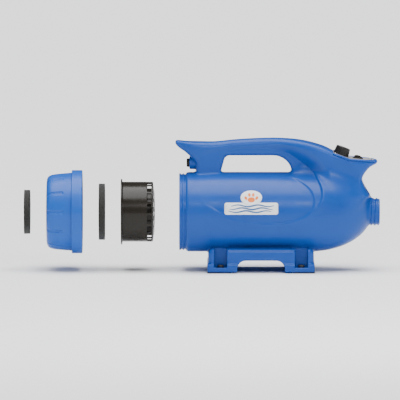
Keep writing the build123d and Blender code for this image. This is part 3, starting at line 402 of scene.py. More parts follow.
def field_mesh(field, low, high, cell):
    """Surface of a distance field: one point in each crossed cell, then moved onto the surface."""
    axes = [np.arange(a, b + cell, cell) for a, b in zip(low, high)]
    n = [len(a) for a in axes]
    values = np.empty(n, np.float32)
    for k in range(0, n[0], 16):
        x, y, z = np.meshgrid(axes[0][k:k + 16], axes[1], axes[2], indexing="ij")
        values[k:k + 16] = field(x, y, z)
    inside = values < 0
    total = np.zeros([m - 1 for m in n] + [3], np.float32)
    count = np.zeros([m - 1 for m in n], np.int16)
    corner = np.stack(np.meshgrid(*[np.arange(m - 1) for m in n], indexing="ij"), -1).astype(np.float32)
    offsets = [(i, j, k) for i in (0, 1) for j in (0, 1) for k in (0, 1)]

    def part(array, o):
        return array[o[0]:n[0] - 1 + o[0], o[1]:n[1] - 1 + o[1], o[2]:n[2] - 1 + o[2]]

    for axis in range(3):
        for a in offsets:
            if a[axis]:
                continue
            b = tuple(v + (i == axis) for i, v in enumerate(a))
            va, vb = part(values, a), part(values, b)
            cut = (va < 0) != (vb < 0)
            t = np.where(cut, va / np.where(cut, va - vb, 1), 0)
            for i in range(3):
                total[..., i] += np.where(cut, a[i] + (t if i == axis else 0), 0)
            count += cut
    used = count > 0
    index = np.full(used.shape, -1, np.int64)
    index[used] = np.arange(used.sum())
    points = (corner[used] + total[used] / count[used][:, None]) * cell + np.array(low)

    faces = []
    for axis in range(3):
        u, v = (axis + 1) % 3, (axis + 2) % 3
        first = np.take(inside, range(n[axis] - 1), axis)
        second = np.take(inside, range(1, n[axis]), axis)
        for cut, flip in ((first & ~second, False), (~first & second, True)):
            at = np.argwhere(cut)
            at = at[(at[:, u] > 0) & (at[:, v] > 0) & (at[:, u] < n[u] - 1) & (at[:, v] < n[v] - 1)]
            ring = []
            for du, dv in ((0, 0), (1, 0), (1, 1), (0, 1)):
                cell_at = at.copy()
                cell_at[:, u] -= 1 - du
                cell_at[:, v] -= 1 - dv
                ring.append(index[tuple(cell_at.T)])
            quad = np.stack(ring, 1)
            faces.append(quad[:, ::-1] if flip else quad)
    faces = np.vstack(faces)
    for _ in range(4):
        slope = gradient(field, points, 0.25)
        move = -(field(*points.T) / np.maximum((slope**2).sum(1), 0.3))[:, None] * slope
        points += np.clip(move, -0.4 * cell, 0.4 * cell)
    normals = gradient(field, points, 0.5)
    return points, faces, normals / np.maximum(np.linalg.norm(normals, axis=1)[:, None], 1e-6)


def lathe(name, outline, body, material, segments=160, shape=None, centre=0.0):
    """A closed ring about the air axis, or one centred above it: its outline turned.

    shape(x, r, angle) gives another radius for each point.
    """
    outline = np.asarray(outline, float)
    angles = np.linspace(0, 2 * pi, segments, endpoint=False)
    x = np.repeat(outline[:, :1], segments, 1)
    r = np.repeat(outline[:, 1:], segments, 1)
    a = np.repeat(angles[None], len(outline), 0)
    if shape:
        r = shape(x, r, a)
    verts = np.stack([x, r * np.sin(a), centre + r * np.cos(a)], -1).reshape(-1, 3)
    rows, cols = len(outline), segments
    faces = []
    for i in range(rows):
        k = (i + 1) % rows
        for j in range(cols):
            m = (j + 1) % cols
            faces.append((i * cols + j, k * cols + j, k * cols + m, i * cols + m))
    return place(name, verts, faces, body, material)


def densify(points, gap):
    """Extra points along a polyline, at most a gap apart."""
    p = np.asarray(points, float)
    out = []
    for a, b in zip(p, p[1:]):
        m = max(1, int(np.ceil(np.linalg.norm(b - a) / gap)))
        out += [a + (b - a) * i / m for i in range(m)]
    return np.array(out + [p[-1]])


def rounded(points, radius, steps=5):
    """A closed outline with its corners rounded."""
    p = np.asarray(points, float)
    out = []
    for i in range(len(p)):
        a, b, c = p[i - 1], p[i], p[(i + 1) % len(p)]
        u, v = a - b, c - b
        lu, lv = np.linalg.norm(u), np.linalg.norm(v)
        r = min(radius, 0.45 * lu, 0.45 * lv)
        start, end = b + u / lu * r, b + v / lv * r
        for t in np.linspace(0, 1, steps):
            out.append((1 - t) ** 2 * start + 2 * t * (1 - t) * b + t * t * end)
    return np.array(out)


# ---- Materials ----------------------------------------------------------------------------------
class Nodes:
    """A small builder for one procedural material."""

    MIX_A, MIX_B, MIX_RESULT = 6, 7, 2  # the Mix node's colour sockets

    def __init__(self, name):
        self.material = bpy.data.materials.new(name)
        self.material.use_nodes = True
        self.tree = self.material.node_tree
        self.shader = self.tree.nodes["Principled BSDF"]
        self.place = self.add("ShaderNodeTexCoord").outputs["Object"]

    def add(self, kind, values=(), links=(), **settings):
        node = self.tree.nodes.new(kind)
        for key, value in settings.items():
            setattr(node, key, value)
        for key, value in dict(values).items():
            node.inputs[key].default_value = value
        for key, socket in dict(links).items():
            self.tree.links.new(socket, node.inputs[key])
        return node

    def stretched(self, scale):
        return self.add("ShaderNodeMapping", {"Scale": scale}, {"Vector": self.place}).outputs["Vector"]

    def noise(self, scale, detail=3.0, rough=0.55, vector=None, warp=0.0):
        values = {"Scale": scale, "Detail": detail, "Roughness": rough, "Distortion": warp}
        return self.add("ShaderNodeTexNoise", values, {"Vector": vector or self.place}).outputs["Fac"]

    def cells(self, scale, feature="F1"):
        return self.add("ShaderNodeTexVoronoi", {"Scale": scale}, {"Vector": self.place},
                        feature=feature).outputs["Distance"]

    def remap(self, socket, low, high, to_low=0.0, to_high=1.0):
        values = {"From Min": low, "From Max": high, "To Min": to_low, "To Max": to_high}
        return self.add("ShaderNodeMapRange", values, {"Value": socket}).outputs["Result"]

    def mix(self, factor, a, b):
        """Colour between two colours, each a tuple or a socket."""
        node = self.add("ShaderNodeMix", data_type="RGBA")
        for index, value in ((self.MIX_A, a), (self.MIX_B, b)):
            if isinstance(value, tuple):
                node.inputs[index].default_value = (*value, 1.0)
            else:
                self.tree.links.new(value, node.inputs[index])
        self.tree.links.new(factor, node.inputs[0])
        return node.outputs[self.MIX_RESULT]

    def maths(self, operation, a, b):
        node = self.add("ShaderNodeMath", operation=operation)
        for index, value in enumerate((a, b)):
            if isinstance(value, (int, float)):
                node.inputs[index].default_value = value
            else:
                self.tree.links.new(value, node.inputs[index])
        return node.outputs[0]

    def bump(self, height, strength, distance):
        before = self.shader.inputs["Normal"].links
        links = {"Height": height}
        if before:
            links["Normal"] = before[0].from_socket
        node = self.add("ShaderNodeBump", {"Strength": strength, "Distance": distance}, links)
        self.tree.links.new(node.outputs["Normal"], self.shader.inputs["Normal"])

    def feed(self, **sockets):
        for key, value in sockets.items():
            socket = self.shader.inputs[key.replace("_", " ")]
            if isinstance(value, (int, float, tuple)):
                socket.default_value = (*value, 1.0) if isinstance(value, tuple) else value
            else:
                self.tree.links.new(value, socket)

    def edges(self):
        """High on convex edges, low in corners."""
        return self.remap(self.add("ShaderNodeNewGeometry").outputs["Pointiness"], 0.50, 0.56)


def moulded(name, light, dark, rough=(0.3, 0.42), peel=0.06, wear=0.35, coat=0.0, shine=0.3):
    """Moulded plastic: faint cloudy tint, orange-peel skin, and edges rubbed paler."""
    n = Nodes(name)
    cloud = n.remap(n.noise(9.0, 4.0, 0.6, warp=0.4), 0.3, 0.7)
    fine = n.remap(n.noise(70.0, 3.0), 0.35, 0.65)
    tint = n.mix(n.maths("MULTIPLY_ADD", cloud, 0.7), dark, light)
    pale = tuple(min(1.0, c * 1.25 + 0.05) for c in light)
    worn = n.maths("MULTIPLY", n.edges(), n.remap(n.noise(45.0, 5.0, 0.7), 0.35, 0.7, 0.0, wear))
    n.feed(Base_Color=n.mix(worn, tint, pale))
    scuffs = n.remap(n.noise(120.0, 6.0, 0.75, n.stretched((0.35, 1.0, 1.6))), 0.5, 0.85, 0.0, 0.04)
    n.feed(Roughness=n.maths("ADD", n.remap(fine, 0.0, 1.0, *rough), scuffs))
    n.bump(n.noise(260.0, 2.0, 0.5), peel, 0.0006)
    n.bump(n.noise(24.0, 2.0, 0.5), 0.05, 0.004)
    n.feed(Specular_IOR_Level=shine, Coat_Weight=coat, Coat_Roughness=0.25)
    return n.material


def metal(name, colour, rough=0.3, grain=(1.0, 1.0, 1.0), scale=500.0, dull=0.16):
    """Bare metal with directional scratches and dull patches."""
    n = Nodes(name)
    line = n.noise(scale, 4.0, 0.6, n.stretched(grain))
    patch = n.remap(n.noise(60.0, 4.0, 0.65), 0.35, 0.7)
    dark = tuple(c * 0.62 for c in colour)
    n.feed(Base_Color=n.mix(patch, colour, dark), Metallic=1.0)
    n.feed(Roughness=n.maths("ADD", n.remap(line, 0.2, 0.8, rough - 0.07, rough + 0.09),
                             n.remap(patch, 0.0, 1.0, 0.0, dull)))
    n.bump(line, 0.12, 0.0003)
    return n.material


def open_cell(name, dark, light, scale=900.0):
    """Reticulated foam: paler struts, with painted shade darkening the pores between them."""
    n = Nodes(name)
    pore = n.cells(scale)
    big = n.cells(scale * 0.45)
    # Painted shade: darkest at the pores' centres, this mask darkens the colour as the shade inside the pores
    # and also drives the bump.
    pore_shade_and_depth = n.maths("MULTIPLY", n.remap(pore, 0.1, 0.6), n.remap(big, 0.1, 0.7, 0.45, 1.0))
    dust = n.remap(n.noise(40.0, 5.0, 0.7), 0.4, 0.75, 0.0, 0.5)
    body = n.mix(pore_shade_and_depth, dark, light)
    dusty = tuple(min(1.0, c * 1.7) for c in light)
    n.feed(Base_Color=n.mix(n.maths("MULTIPLY", dust, pore_shade_and_depth), body, dusty))
    n.feed(Roughness=n.remap(pore, 0.0, 1.0, 0.85, 0.98), Sheen_Weight=0.15, Sheen_Roughness=0.5)
    n.bump(pore_shade_and_depth, 0.9, 0.0009)
    return n.material


def rubbery(name, dark, light, rough=0.62):
    """Matt rubber with a fine grain and a trace of bloom."""
    n = Nodes(name)
    bloom = n.remap(n.noise(55.0, 5.0, 0.7), 0.45, 0.75)
    n.feed(Base_Color=n.mix(bloom, dark, light))
    n.feed(Roughness=n.remap(n.noise(180.0, 3.0), 0.3, 0.7, rough - 0.08, rough + 0.1))
    n.bump(n.noise(700.0, 3.0), 0.15, 0.0004)
    return n.material


def film(name, colour, shade):
    """Printed vinyl film: even ink with a faint print grain."""
    n = Nodes(name)
    grain = n.remap(n.noise(900.0, 2.0), 0.3, 0.7)
    n.feed(Base_Color=n.mix(grain, colour, shade))
    n.feed(Roughness=n.remap(n.noise(150.0, 3.0), 0.3, 0.7, 0.26, 0.4))
    n.bump(n.noise(420.0, 2.0), 0.04, 0.0003)
    return n.material


def wound(name, colour, shade, pitch=1500.0):
    """Enamelled wire wound side by side, each wire painted paler along its crest and darker in the grooves,
    as painted light and shade.
    """
    n = Nodes(name)
    wave = n.add("ShaderNodeTexWave", {"Scale": pitch / 6.0, "Distortion": 1.5, "Detail": 2.0},
                 {"Vector": n.place}, bands_direction="DIAGONAL").outputs["Fac"]
    # Painted light and shade: the wave bands give each wire's crest the copper colour and the grooves between
    # wires the dark shade colour.
    n.feed(Base_Color=n.mix(wave, shade, colour), Metallic=0.75)
    n.feed(Roughness=n.remap(n.noise(300.0, 3.0), 0.3, 0.7, 0.28, 0.42))
    n.bump(wave, 0.7, 0.0006)
    return n.material


def laminated(name):
    """Stacked electrical steel, its sheets lying across the air axis."""
    n = Nodes(name)
    wave = n.add("ShaderNodeTexWave", {"Scale": 320.0, "Distortion": 0.2}, {"Vector": n.place},
                 bands_direction="X").outputs["Fac"]
    spots = n.remap(n.noise(90.0, 5.0, 0.7), 0.45, 0.75)
    n.feed(Base_Color=n.mix(spots, (0.34, 0.35, 0.37), (0.2, 0.17, 0.15)), Metallic=0.85)
    n.feed(Roughness=n.remap(wave, 0.0, 1.0, 0.38, 0.55))
    n.bump(wave, 0.5, 0.0004)
    return n.material


def etched(name):
    """Circuit board: green mask over copper tracks."""
    n = Nodes(name)
    track = n.remap(n.cells(260.0, feature="DISTANCE_TO_EDGE"), 0.04, 0.09)
    n.feed(Base_Color=n.mix(track, (0.05, 0.2, 0.07), (0.015, 0.09, 0.03)))
    n.feed(Roughness=n.remap(n.noise(200.0), 0.3, 0.7, 0.25, 0.4))
    n.bump(track, 0.3, 0.0003)
    return n.material


BLUE = moulded("blue_moulding", (0.006, 0.068, 0.35), (0.004, 0.050, 0.28), (0.28, 0.38), 0.05, 0.25,
               coat=0.02, shine=0.22)
CAP_BLUE = moulded("cap_moulding", (0.011, 0.10, 0.47), (0.008, 0.075, 0.39), (0.32, 0.42), 0.05, 0.25,
                   coat=0.02, shine=0.25)
BLACK = moulded("black_moulding", (0.015, 0.0125, 0.0095), (0.011, 0.009, 0.007), (0.22, 0.28), 0.012, 0.06,
                coat=0.04, shine=0.2)
KNOB_BLACK = moulded("knob_moulding", (0.016, 0.015, 0.014), (0.008, 0.008, 0.008), (0.3, 0.42), 0.1, 0.3)
GREY = moulded("panel_plate", (0.36, 0.345, 0.32), (0.29, 0.275, 0.255), (0.36, 0.5), 0.12, 0.2)
# Each foam's first, darker colour is the painted shade in its pores; the second is the struts' own tone.
FOAM = open_cell("filter_foam", (0.003, 0.003, 0.0026), (0.020, 0.020, 0.0175))
LINER = open_cell("liner_foam", (0.05, 0.05, 0.052), (0.16, 0.16, 0.165), 500.0)
RUBBER = rubbery("black_rubber", (0.012, 0.012, 0.013), (0.035, 0.034, 0.033))
CABLE = rubbery("cable_sheath", (0.01, 0.01, 0.01), (0.028, 0.028, 0.028), 0.45)
INK = film("white_ink", (0.8, 0.8, 0.78), (0.72, 0.72, 0.7))
WHITE = film("label_white", (0.86, 0.88, 0.9), (0.8, 0.82, 0.85))
ORANGE = film("label_orange", (0.9, 0.2, 0.015), (0.8, 0.16, 0.01))
LABEL_BLUE = film("label_blue", (0.03, 0.13, 0.34), (0.02, 0.1, 0.3))
ZINC = metal("zinc_steel", (0.62, 0.63, 0.64), 0.3)
ALUMINIUM = metal("cast_aluminium", (0.72, 0.72, 0.71), 0.42, scale=180.0)
TURNED = metal("turned_brass", (0.72, 0.5, 0.2), 0.28, (8.0, 1.0, 1.0))
COMPONENT = moulded("capacitor_case", (0.03, 0.2, 0.42), (0.02, 0.15, 0.34), (0.3, 0.4), 0.05, 0.1)
CARBON = rubbery("carbon_brush", (0.012, 0.012, 0.013), (0.03, 0.03, 0.032), 0.5)
# The second, dark colour is the painted shade in the grooves between the wires.
COPPER = wound("copper_winding", (0.62, 0.24, 0.09), (0.22, 0.07, 0.025))
LAMINATION = laminated("lamination_steel")
BOARD = etched("circuit_board")
FINISHES = {"blue_plastic": BLUE, "label_film": WHITE, "black_plastic": BLACK, "knob_plastic": KNOB_BLACK,
            "white_ink": INK, "grey_plastic": GREY, "foam": FOAM, "grey_foam": LINER, "rubber": RUBBER,
            "zinc_steel": ZINC, "cast_aluminium": ALUMINIUM, "lamination_steel": LAMINATION, "copper": COPPER,
            "brass": TURNED, "carbon": CARBON, "board_green": BOARD, "component_blue": COMPONENT,
            "cable_black": CABLE}


def finish_nodes():
    """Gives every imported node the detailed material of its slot."""
    slot_of = {part["node"]: part["material_slot"] for part in frame["record"]["subparts"]}
    for name, node in frame["nodes"].items():
        material = FINISHES[slot_of[name]]
        if not node.material_slots:
            node.data.materials.append(material)
        for held in node.material_slots:
            held.material = material


# ---- Housing ------------------------------------------------------------------------------------
def housing():
    """The blue moulding with its threaded outlet and ringed neck."""
    low, high = (-176.5, -86.0, floor(-2.5)), (240.0, 86.0, 151.0)
    verts, faces, normals = field_mesh(body_field, low, high, BODY_CELL)
    skin = place("housing_skin", verts, faces, HOUSING, BLUE, normals)
    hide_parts("housing_barrel", "handle_shell", "base_plinth")

    beads = [(RIM_X, NECK_BORE_R), (RIM_X, BEAD_R), (RIM_X + 3.6, BEAD_R), (RIM_X + 3.8, NECK_R),
             (RIM_X + 6.6, NECK_R), (RIM_X + 6.8, BEAD_R), (RIM_X + 9.6, BEAD_R), (RIM_X + 9.8, NECK_R),
             (SHOULDER_X + 3, NECK_R), (SHOULDER_X + 3, NECK_BORE_R)]
    neck = lathe("neck_rings", rounded(beads, 0.8), HOUSING, BLUE, 200)

    end = SPOUT_END_X
    tube = [(SPOUT_X - 4, BORE_R), (end - 0.8, BORE_R), (end, BORE_R + 0.9), (end, SPOUT_R - 1.2),
            (end - 1.0, SPOUT_R - 0.1)]
    tube += [(x, SPOUT_R) for x in np.arange(end - 1.6, SPOUT_X + 1.0, -0.45)]
    tube += [(SPOUT_X - 1, SPOUT_R - 1.0)]

    def thread(x, r, a):
        phase = ((x - SPOUT_X - 3.4) / THREAD_PITCH - a / (2 * pi)) % 1.0
        ridge = step((0.30 - np.abs(phase - 0.5)) / 0.16)
        fade = step((x - SPOUT_X - 1.2) / 2.5) * step((end - 1.2 - x) / 2.0)
        return r + np.where(r > SPOUT_R - 0.6, (THREAD_R - SPOUT_R) * ridge * fade, 0)

    outlet = lathe("outlet_thread", tube, HOUSING, BLUE, 180, thread)


def panel_lips():
    """Rounded lips of the moulding along both sides of the control panel."""
    start, end = PANEL_X
    x = np.linspace(start - 1.5, end + 1.5, 90)
    around = np.linspace(0, 2 * pi, 24, endpoint=False)
    taper = np.minimum(1, 0.12 + np.minimum(x - x[0], x[-1] - x) / 3.0)[:, None, None] ** 0.5
    for side, tag in ((-1, "near"), (1, "far")):
        y = side * (np.interp(x, OUT[:, 0], OUT[:, 1]) - PANEL_INSET + PANEL_LIP_OUT)
        spine = np.stack([x, y, panel_height(x) - PANEL_LIP_DOWN], 1)
        along = np.gradient(spine, axis=0)
        across = np.stack([-along[:, 1], along[:, 0], 0 * x], 1)
        across /= np.linalg.norm(across, axis=1)[:, None]
        up = np.cross(along, across)
        up /= np.linalg.norm(up, axis=1)[:, None]
        wide = across[:, None] * (PANEL_LIP_HALF[0] * np.cos(around))[:, None]
        high = up[:, None] * (PANEL_LIP_HALF[1] * np.sin(around))[:, None]
        verts = (spine[:, None] + (wide + high) * taper).reshape(-1, 3)
        n, rows = len(around), len(x)
        faces = quads(rows, n) + [tuple(range(n)), tuple(range((rows - 1) * n, rows * n))]
        lip = place(f"panel_lip_{tag}", verts, faces, HOUSING, BLUE)
        settle(lip)


def gland():
    """Black bell-mouthed gland in the end of the cord boss."""
    low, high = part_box("cable_gland")
    x, end = low[0] / MM, high[0] / MM
    height = (low[2] + high[2]) / 2 / MM - AXIS_Z
    wide = (high[1] - low[1]) / 2 / MM
    bell = [(x, 4.0), (x, wide - 2.0), (x + 1.0, wide - 0.4), (x + 3.0, wide), (x + 5.6, wide),
            (x + 6.2, wide - 0.5), (end, wide - 0.5), (end, 4.0)]
    ring = lathe("gland_bell", rounded(bell, 0.9, 6), HOUSING, BLACK, 72, centre=height)
    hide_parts("cable_gland")


# ---- Intake parts -------------------------------------------------------------------------------
def revolved(outline):
    """A distance field about the air axis from an outline of (x, radius)."""
    return Outline(outline, margin=12.0, pitch=0.6)


def ring_angle(y, z, count, start=0.0):
    """Angle in degrees from the middle of the nearest of several equal sectors."""
    a = np.degrees(np.arctan2(y, z)) - start
    return (a + 180.0 / count) % (360.0 / count) - 180.0 / count


def cap():
    """Blue intake cap: stepped skirt, fluted dome, and a recess with a grille of arc slots."""
    low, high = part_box("intake_cap")
    face, end = low[0] / MM, high[0] / MM
    brim = end - 21.0
    seat = face + 56.6
    recess = face + 14.6
    dome = through(((face, 50.0), (face, 60.0), (face + 1.6, 67.4), (face + 6.6, 72.4), (face + 16.0, 75.0),
                    (face + 32.0, 76.6), (brim, 78.0)), 8)
    inner = through(((face + 4, 50.0), (face + 4, 57.0), (face + 6.2, 63.6), (face + 11.0, 68.2),
                     (face + 20.0, 71.0), (face + 36.0, 72.8), (seat - 4, CAP_WALL_R)), 6)
    skirt = [(brim, CAP_SKIRT_R), (end, CAP_SKIRT_R), (end, CAP_BORE_R), (seat, CAP_BORE_R),
             (seat, CAP_SEAT_R), (seat - 3, CAP_SEAT_R), (seat - 3, CAP_WALL_R)]
    wall = revolved(np.vstack([[(face, 0)], dome, skirt, inner[::-1], [(face + 4, 0)]]))
    plug = revolved([(face, 0), (face, CAP_PLUG_R), (recess + 3, CAP_PLUG_R), (recess + 3, 0)])
    hole = revolved([(face - 9, 0), (face - 9, CAP_RECESS_R), (recess, CAP_RECESS_R), (recess, 0)])

    def field(x, y, z):
        r = np.sqrt(y * y + z * z)
        flute_at = np.radians(ring_angle(y, z, FLUTES, 4.0)) * r
        along = step((face + 35.5 - x) / 4.0)
        flute = FLUTE_DEPTH * step((3.6 - np.abs(flute_at)) / 1.3) * along * step((r - 55.0) / 6.0)
        d = join(wall(x, r) + flute * 0.95, plug(x, r), 1.5)
        d = meet(d, -hole(x, r), 1.4)
        for ring, (r0, r1) in enumerate(GRILLE_RINGS):
            sectors = 6 * (ring + 1)
            spoke = np.abs(np.radians(ring_angle(y, z, sectors, 180.0 / sectors))) * r
            reach = pi * r / sectors - 1.5 - spoke
            slot = np.maximum(np.maximum(r0 - r, r - r1), -reach)
            slot = np.maximum(slot, np.maximum(recess - 3 - x, x - recess - 8))
            d = meet(d, -slot, 0.6)
        rib = np.abs(np.sin(np.radians(ring_angle(y, z, 6, 30.0))) * r) - 1.25
        rib = np.maximum(rib, np.maximum(59.0 - r, r - 73.4))
        rib = np.maximum(rib, np.maximum(face + 8.6 - x, x - face - 58.7))
        return join(d, np.maximum(rib, -hole(x, r)), 0.8)

    verts, faces, normals = field_mesh(field, (face - 2, -85.5, -85.5), (end + 2, 85.5, 85.5), CAP_CELL)
    shell = place("cap_shell", verts, faces, CAP, CAP_BLUE, normals)
    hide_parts("intake_cap")


def basket():
    """Black filter cup: thin flange, straight wall, and a caged end."""
    low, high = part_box("filter_basket")
    x0, end = low[0] / MM, high[0] / MM - 3.8
    outside = [(x0, CUP_BORE_R), (x0, CUP_FLANGE_R), (x0 + 3.0, CUP_FLANGE_R), (x0 + 3.1, CUP_R + 0.8),
               (x0 + 4.2, CUP_R), (end - 1.2, CUP_R), (end, CUP_BORE_R + 1.0), (end + 2.7, 38.0),
               (end + 3.8, 12.0), (end + 3.8, 0)]
    inside = [(end + 1.4, 0), (end + 1.4, 12.0), (end + 0.3, 38.0), (end - 2.4, CUP_BORE_R)]
    cup = revolved(rounded(outside + inside, 0.7))

    def field(x, y, z):
        r = np.sqrt(y * y + z * z)
        d = cup(x, r)
        turn = np.radians(ring_angle(y, z, CUP_WINDOWS, 180.0 / CUP_WINDOWS))
        across = np.abs(np.sin(turn) * r)
        window = np.maximum(np.maximum(across - CUP_R * sin(radians(WINDOW_HALF_ANGLE)), 53.8 - r),
                            np.maximum(end - 11.5 - x, x - end + 3.4))
        radial = np.minimum(np.maximum(np.maximum(across - 2.0, 18.0 - r), r - 32.0),
                            np.maximum(np.maximum(across - 4.4, 36.0 - r), r - 51.0))
        slots = np.maximum(radial, end - 4.0 - x)
        ledge = np.maximum(np.maximum(x0 + 13.4 - x, x - x0 - 15.0), np.maximum(54.0 - r, r - 58.0))
        rest = np.maximum(np.maximum(x0 + 52.0 - x, x - end - 1.0), np.maximum(44.6 - r, r - 46.6))
        cut = join(meet(meet(d, -window, 0.9), -slots, 0.8), ledge, 0.6)
        return join(cut, rest, 0.6)

    verts, faces, normals = field_mesh(field, (x0 - 2, -67.5, -67.5), (end + 6, 67.5, 67.5), BASKET_CELL)
    cage = place("filter_cage", verts, faces, BASKET, BLACK, normals)
    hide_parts("filter_basket")


def ripple(points, waves, size, seed):
    """Smooth seeded noise: a sum of plane waves, about from -size to size."""
    rng = np.random.default_rng(seed)
    total, terms = np.zeros(len(points)), 14
    for _ in range(terms):
        direction = rng.normal(size=3)
        direction /= np.linalg.norm(direction)
        total += np.sin(points @ direction * waves * rng.uniform(0.6, 1.6) + rng.uniform(0, 2 * pi))
    return total / terms**0.5 * size * 0.7


def foam_disc(name, node, body, seed):
    """A die-cut round of open-cell foam, with soft edges, torn pores and a slightly uneven cut."""
    low, high = (np.array(v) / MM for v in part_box(node))
    radius = (high[1] - low[1]) / 2
    thick = high[0] - low[0]
    middle = (low[0] + high[0]) / 2
    pitch = 0.95
    face = [(-thick / 2, r) for r in np.arange(radius * 0.02, radius - 0.9, pitch)]
    corner = arc(-thick / 2 + FOAM_EDGE, radius - FOAM_EDGE, FOAM_EDGE, 180, 90, 3)
    rim = [(x, radius) for x in np.arange(-thick / 2 + FOAM_EDGE + pitch, thick / 2 - FOAM_EDGE, pitch)]
    profile = np.vstack([face, corner, rim, corner[::-1] * (-1, 1), np.array(face)[::-1] * (-1, 1)])
    count = int(2 * pi * radius / pitch / 1.35)
    a = np.linspace(0, 2 * pi, count, endpoint=False)
    x, r = np.repeat(profile[:, :1], count, 1), np.repeat(profile[:, 1:], count, 1)
    turn = np.repeat(a[None], len(profile), 0)
    points = np.stack([x, r * np.sin(turn), r * np.cos(turn)], -1).reshape(-1, 3)
    rng = np.random.default_rng(seed)
    out = points / np.array([thick / 2, radius, radius])
    out /= np.maximum(np.linalg.norm(out, axis=1)[:, None], 0.3)
    reach = np.hypot(points[:, 1], points[:, 2])
    calm = np.clip(reach / 22.0, 0.06, 1)
    near_rim = np.clip((reach / radius - 0.9) * 10, 0, 1)
    pores = calm * rng.uniform(*FOAM_PORES, len(points)) + ripple(points, 1.4, 0.12, seed + 1)
    warp = ripple(points, 0.05, 0.35, seed + 2) - 0.5
    points += out * pores[:, None]
    points[:, 0] += warp * np.sign(points[:, 0]) * 0.6
    points[:, 1:] *= (1 + (near_rim * (ripple(points, 0.06, 0.5, seed + 3) - 0.55) / radius))[:, None]
    points[:, 0] = np.clip(points[:, 0], -thick / 2, thick / 2) + middle
    rows = len(profile)
    faces = quads(rows, count)
    for start, order in ((0, -1), ((rows - 1) * count, 1)):
        faces.append(tuple(start + j for j in range(count))[::order])
    pad = place(name, points, faces, body, FOAM)
    settle(pad)
    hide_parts(node)


# ---- Label --------------------------------------------------------------------------------------
def on_flank(points, side, level):
    """Points (x, height) wrapped onto the barrel's flank at a level above its skin."""
    p = np.asarray(points, float)
    r = BODY_R + level
    angle = p[:, 1] / BODY_R
    along = LABEL_X + side * (p[:, 0] - LABEL_X)
    return np.stack([along, -side * r * np.cos(angle), r * np.sin(angle)], 1)


def patch(name, outline, side, level, material):
    """A thin printed shape, star-shaped about its centre, laid on a flank."""
    p = np.asarray(outline, float)
    centre = p.mean(0)
    n = len(p)
    rings = [centre + (p - centre) * t for t in (0.15, 0.3, 0.45, 0.6, 0.75, 0.88, 1.0)]
    rows = [on_flank(ring, side, level) for ring in rings] + [on_flank(rings[-1], side, SUNK)]
    verts = np.vstack(rows + [on_flank([centre], side, level)])
    faces = quads(len(rows), n) + [(len(verts) - 1, (j + 1) % n, j) for j in range(n)]
    piece = place(name, verts, faces, HOUSING, material)
    settle(piece)
    return piece


def stroke(name, line, widths, side, level, material):
    """A thin printed stroke along a line, laid on a flank."""
    p = np.asarray(line, float)
    along = np.gradient(p, axis=0)
    along /= np.linalg.norm(along, axis=1)[:, None]
    normal = np.stack([-along[:, 1], along[:, 0]], 1)
    half = np.asarray(widths, float)[:, None] / 2
    columns = [p + normal * half * s for s in (-1, -0.5, 0, 0.5, 1)]
    rows = [on_flank(columns[0], side, SUNK)] + [on_flank(c, side, level) for c in columns]
    rows += [on_flank(columns[-1], side, SUNK)]
    n = len(p)
    verts = np.vstack(rows)
    faces = [(i * n + j, i * n + j + 1, (i + 1) * n + j + 1, (i + 1) * n + j)
             for i in range(len(rows) - 1) for j in range(n - 1)]
    for j in (0, n - 1):
        faces.append(tuple(i * n + j for i in range(len(rows))))
    piece = place(name, verts, faces, HOUSING, material)
    settle(piece)


def oval(cx, cz, a, b, lean=0.0, count=40):
    """An ellipse's outline, leaning by an angle in degrees."""
    t = np.linspace(0, 2 * pi, count, endpoint=False)
    u, v = a * np.cos(t), b * np.sin(t)
    c, s = cos(radians(lean)), sin(radians(lean))
    return np.stack([cx + u * c - v * s, cz + u * s + v * c], 1)


def label(side, tag):
    """A printed mark of its own design: a paw in a white round over a white band with waves of air."""
    soft = rounded(BAND, 5.0, 8)
    band = densify(np.vstack([soft, soft[:1]]), 2.0)[:-1]
    first = patch(f"label_band_{tag}", band, side, BAND_LEVEL, WHITE)
    for k, height in enumerate(WAVE_HEIGHTS):
        x = np.linspace(-66 + 3 * k, 20 + 3 * k, 70)
        line = np.stack([x, height + 1.7 * np.sin((x + 8 * k) / 6.4)], 1)
        width = 3.0 * np.sin(np.linspace(0.12, pi - 0.12, 70)) ** 0.5
        stroke(f"label_wave_{tag}_{k}", line, width, side, WAVE_LEVEL, LABEL_BLUE)
    patch(f"label_round_{tag}", oval(LABEL_X, 35.5, 21.5, 16.0, count=64), side, ROUND_LEVEL, WHITE)
    patch(f"label_palm_{tag}", oval(LABEL_X, 31.0, 7.2, 5.4), side, PAW_LEVEL, ORANGE)
    for k, (x, z, lean) in enumerate(TOES):
        patch(f"label_toe_{tag}_{k}", oval(x, z, 2.6, 3.9, lean), side, PAW_LEVEL, ORANGE)
    return first


def labels():
    """The printed marks on both flanks."""
    near = label(1, "near")
    label(-1, "far")
    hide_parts("side_labels")


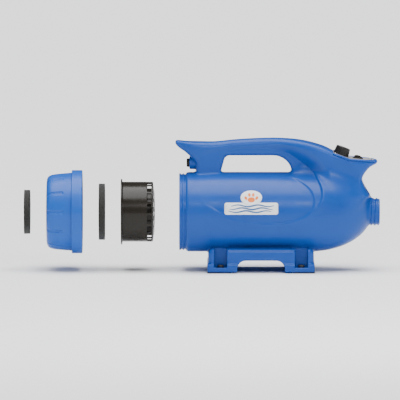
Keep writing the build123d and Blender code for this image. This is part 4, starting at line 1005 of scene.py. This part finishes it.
# ---- Stage --------------------------------------------------------------------------------------
def stage():
    """A pale floor, wide enough to fill the background of a view from a little above."""
    n = FLOOR_SIDES
    turn = np.linspace(0, 2 * pi, n, endpoint=False)
    verts = [(0.0, 0.0, 0.0)]
    for radius in FLOOR_RINGS:
        verts += [(radius * cos(t), radius * sin(t), 0.0) for t in turn]
    faces = [(0, 1 + j, 1 + (j + 1) % n) for j in range(n)]
    faces += [(1 + n * i + j, 1 + n * (i + 1) + j, 1 + n * (i + 1) + (j + 1) % n, 1 + n * i + (j + 1) % n)
              for i in range(len(FLOOR_RINGS) - 1) for j in range(n)]
    mesh = bpy.data.meshes.new("studio_floor")
    mesh.from_pydata(verts, [], faces)
    floor_piece = bpy.data.objects.new("studio_floor", mesh)
    bpy.context.collection.objects.link(floor_piece)
    paper = Nodes("studio_paper")
    paper.feed(Base_Color=paper.mix(paper.noise(6.0), (0.93, 0.93, 0.93), (0.95, 0.95, 0.95)))
    paper.feed(Roughness=0.85, Specular_IOR_Level=0.1)
    mesh.materials.append(paper.material)


def lamp(name, place_at, aim, size, power):
    """A soft box aimed at a point."""
    data = bpy.data.lights.new(name, "AREA")
    data.shape = "RECTANGLE"
    data.size, data.size_y = size
    data.energy = power
    obj = bpy.data.objects.new(name, data)
    obj.location = place_at
    obj.rotation_euler = (Vector(aim) - Vector(place_at)).to_track_quat("-Z", "Y").to_euler()
    bpy.context.collection.objects.link(obj)


def studio():
    """Soft boxes, pale surroundings and the camera."""
    world = bpy.data.worlds.new("studio")
    world.use_nodes = True
    sky = world.node_tree.nodes["Background"]
    sky.inputs["Color"].default_value = SKY
    sky.inputs["Strength"].default_value = SKY_STRENGTH
    bpy.context.scene.world = world
    sun = bpy.data.lights.new("ceiling", "SUN")
    sun.energy, sun.angle = SUN_STRENGTH, radians(SUN_SPREAD)
    ceiling = bpy.data.objects.new("ceiling", sun)
    ceiling.rotation_euler = (radians(SUN_LEAN), 0.0, 0.0)
    bpy.context.collection.objects.link(ceiling)
    for box in BOXES:
        lamp(*box)

    target, elevation = Vector(VIEW_TARGET), radians(VIEW_ELEVATION)
    data = bpy.data.cameras.new("camera")
    data.lens, data.sensor_width = LENS, SENSOR
    camera = bpy.data.objects.new("camera", data)
    camera.location = target + VIEW_DISTANCE * Vector((0.0, -cos(elevation), sin(elevation)))
    camera.rotation_euler = (target - camera.location).to_track_quat("-Z", "Y").to_euler()
    bpy.context.collection.objects.link(camera)
    bpy.context.scene.camera = camera


finish_nodes()
housing()
panel_lips()
gland()
cap()
basket()
foam_disc("outer_foam_disc", "outer_filter", "outer_foam", 11)
foam_disc("inner_foam_disc", "inner_filter", "inner_foam", 23)
labels()
stage()
studio()
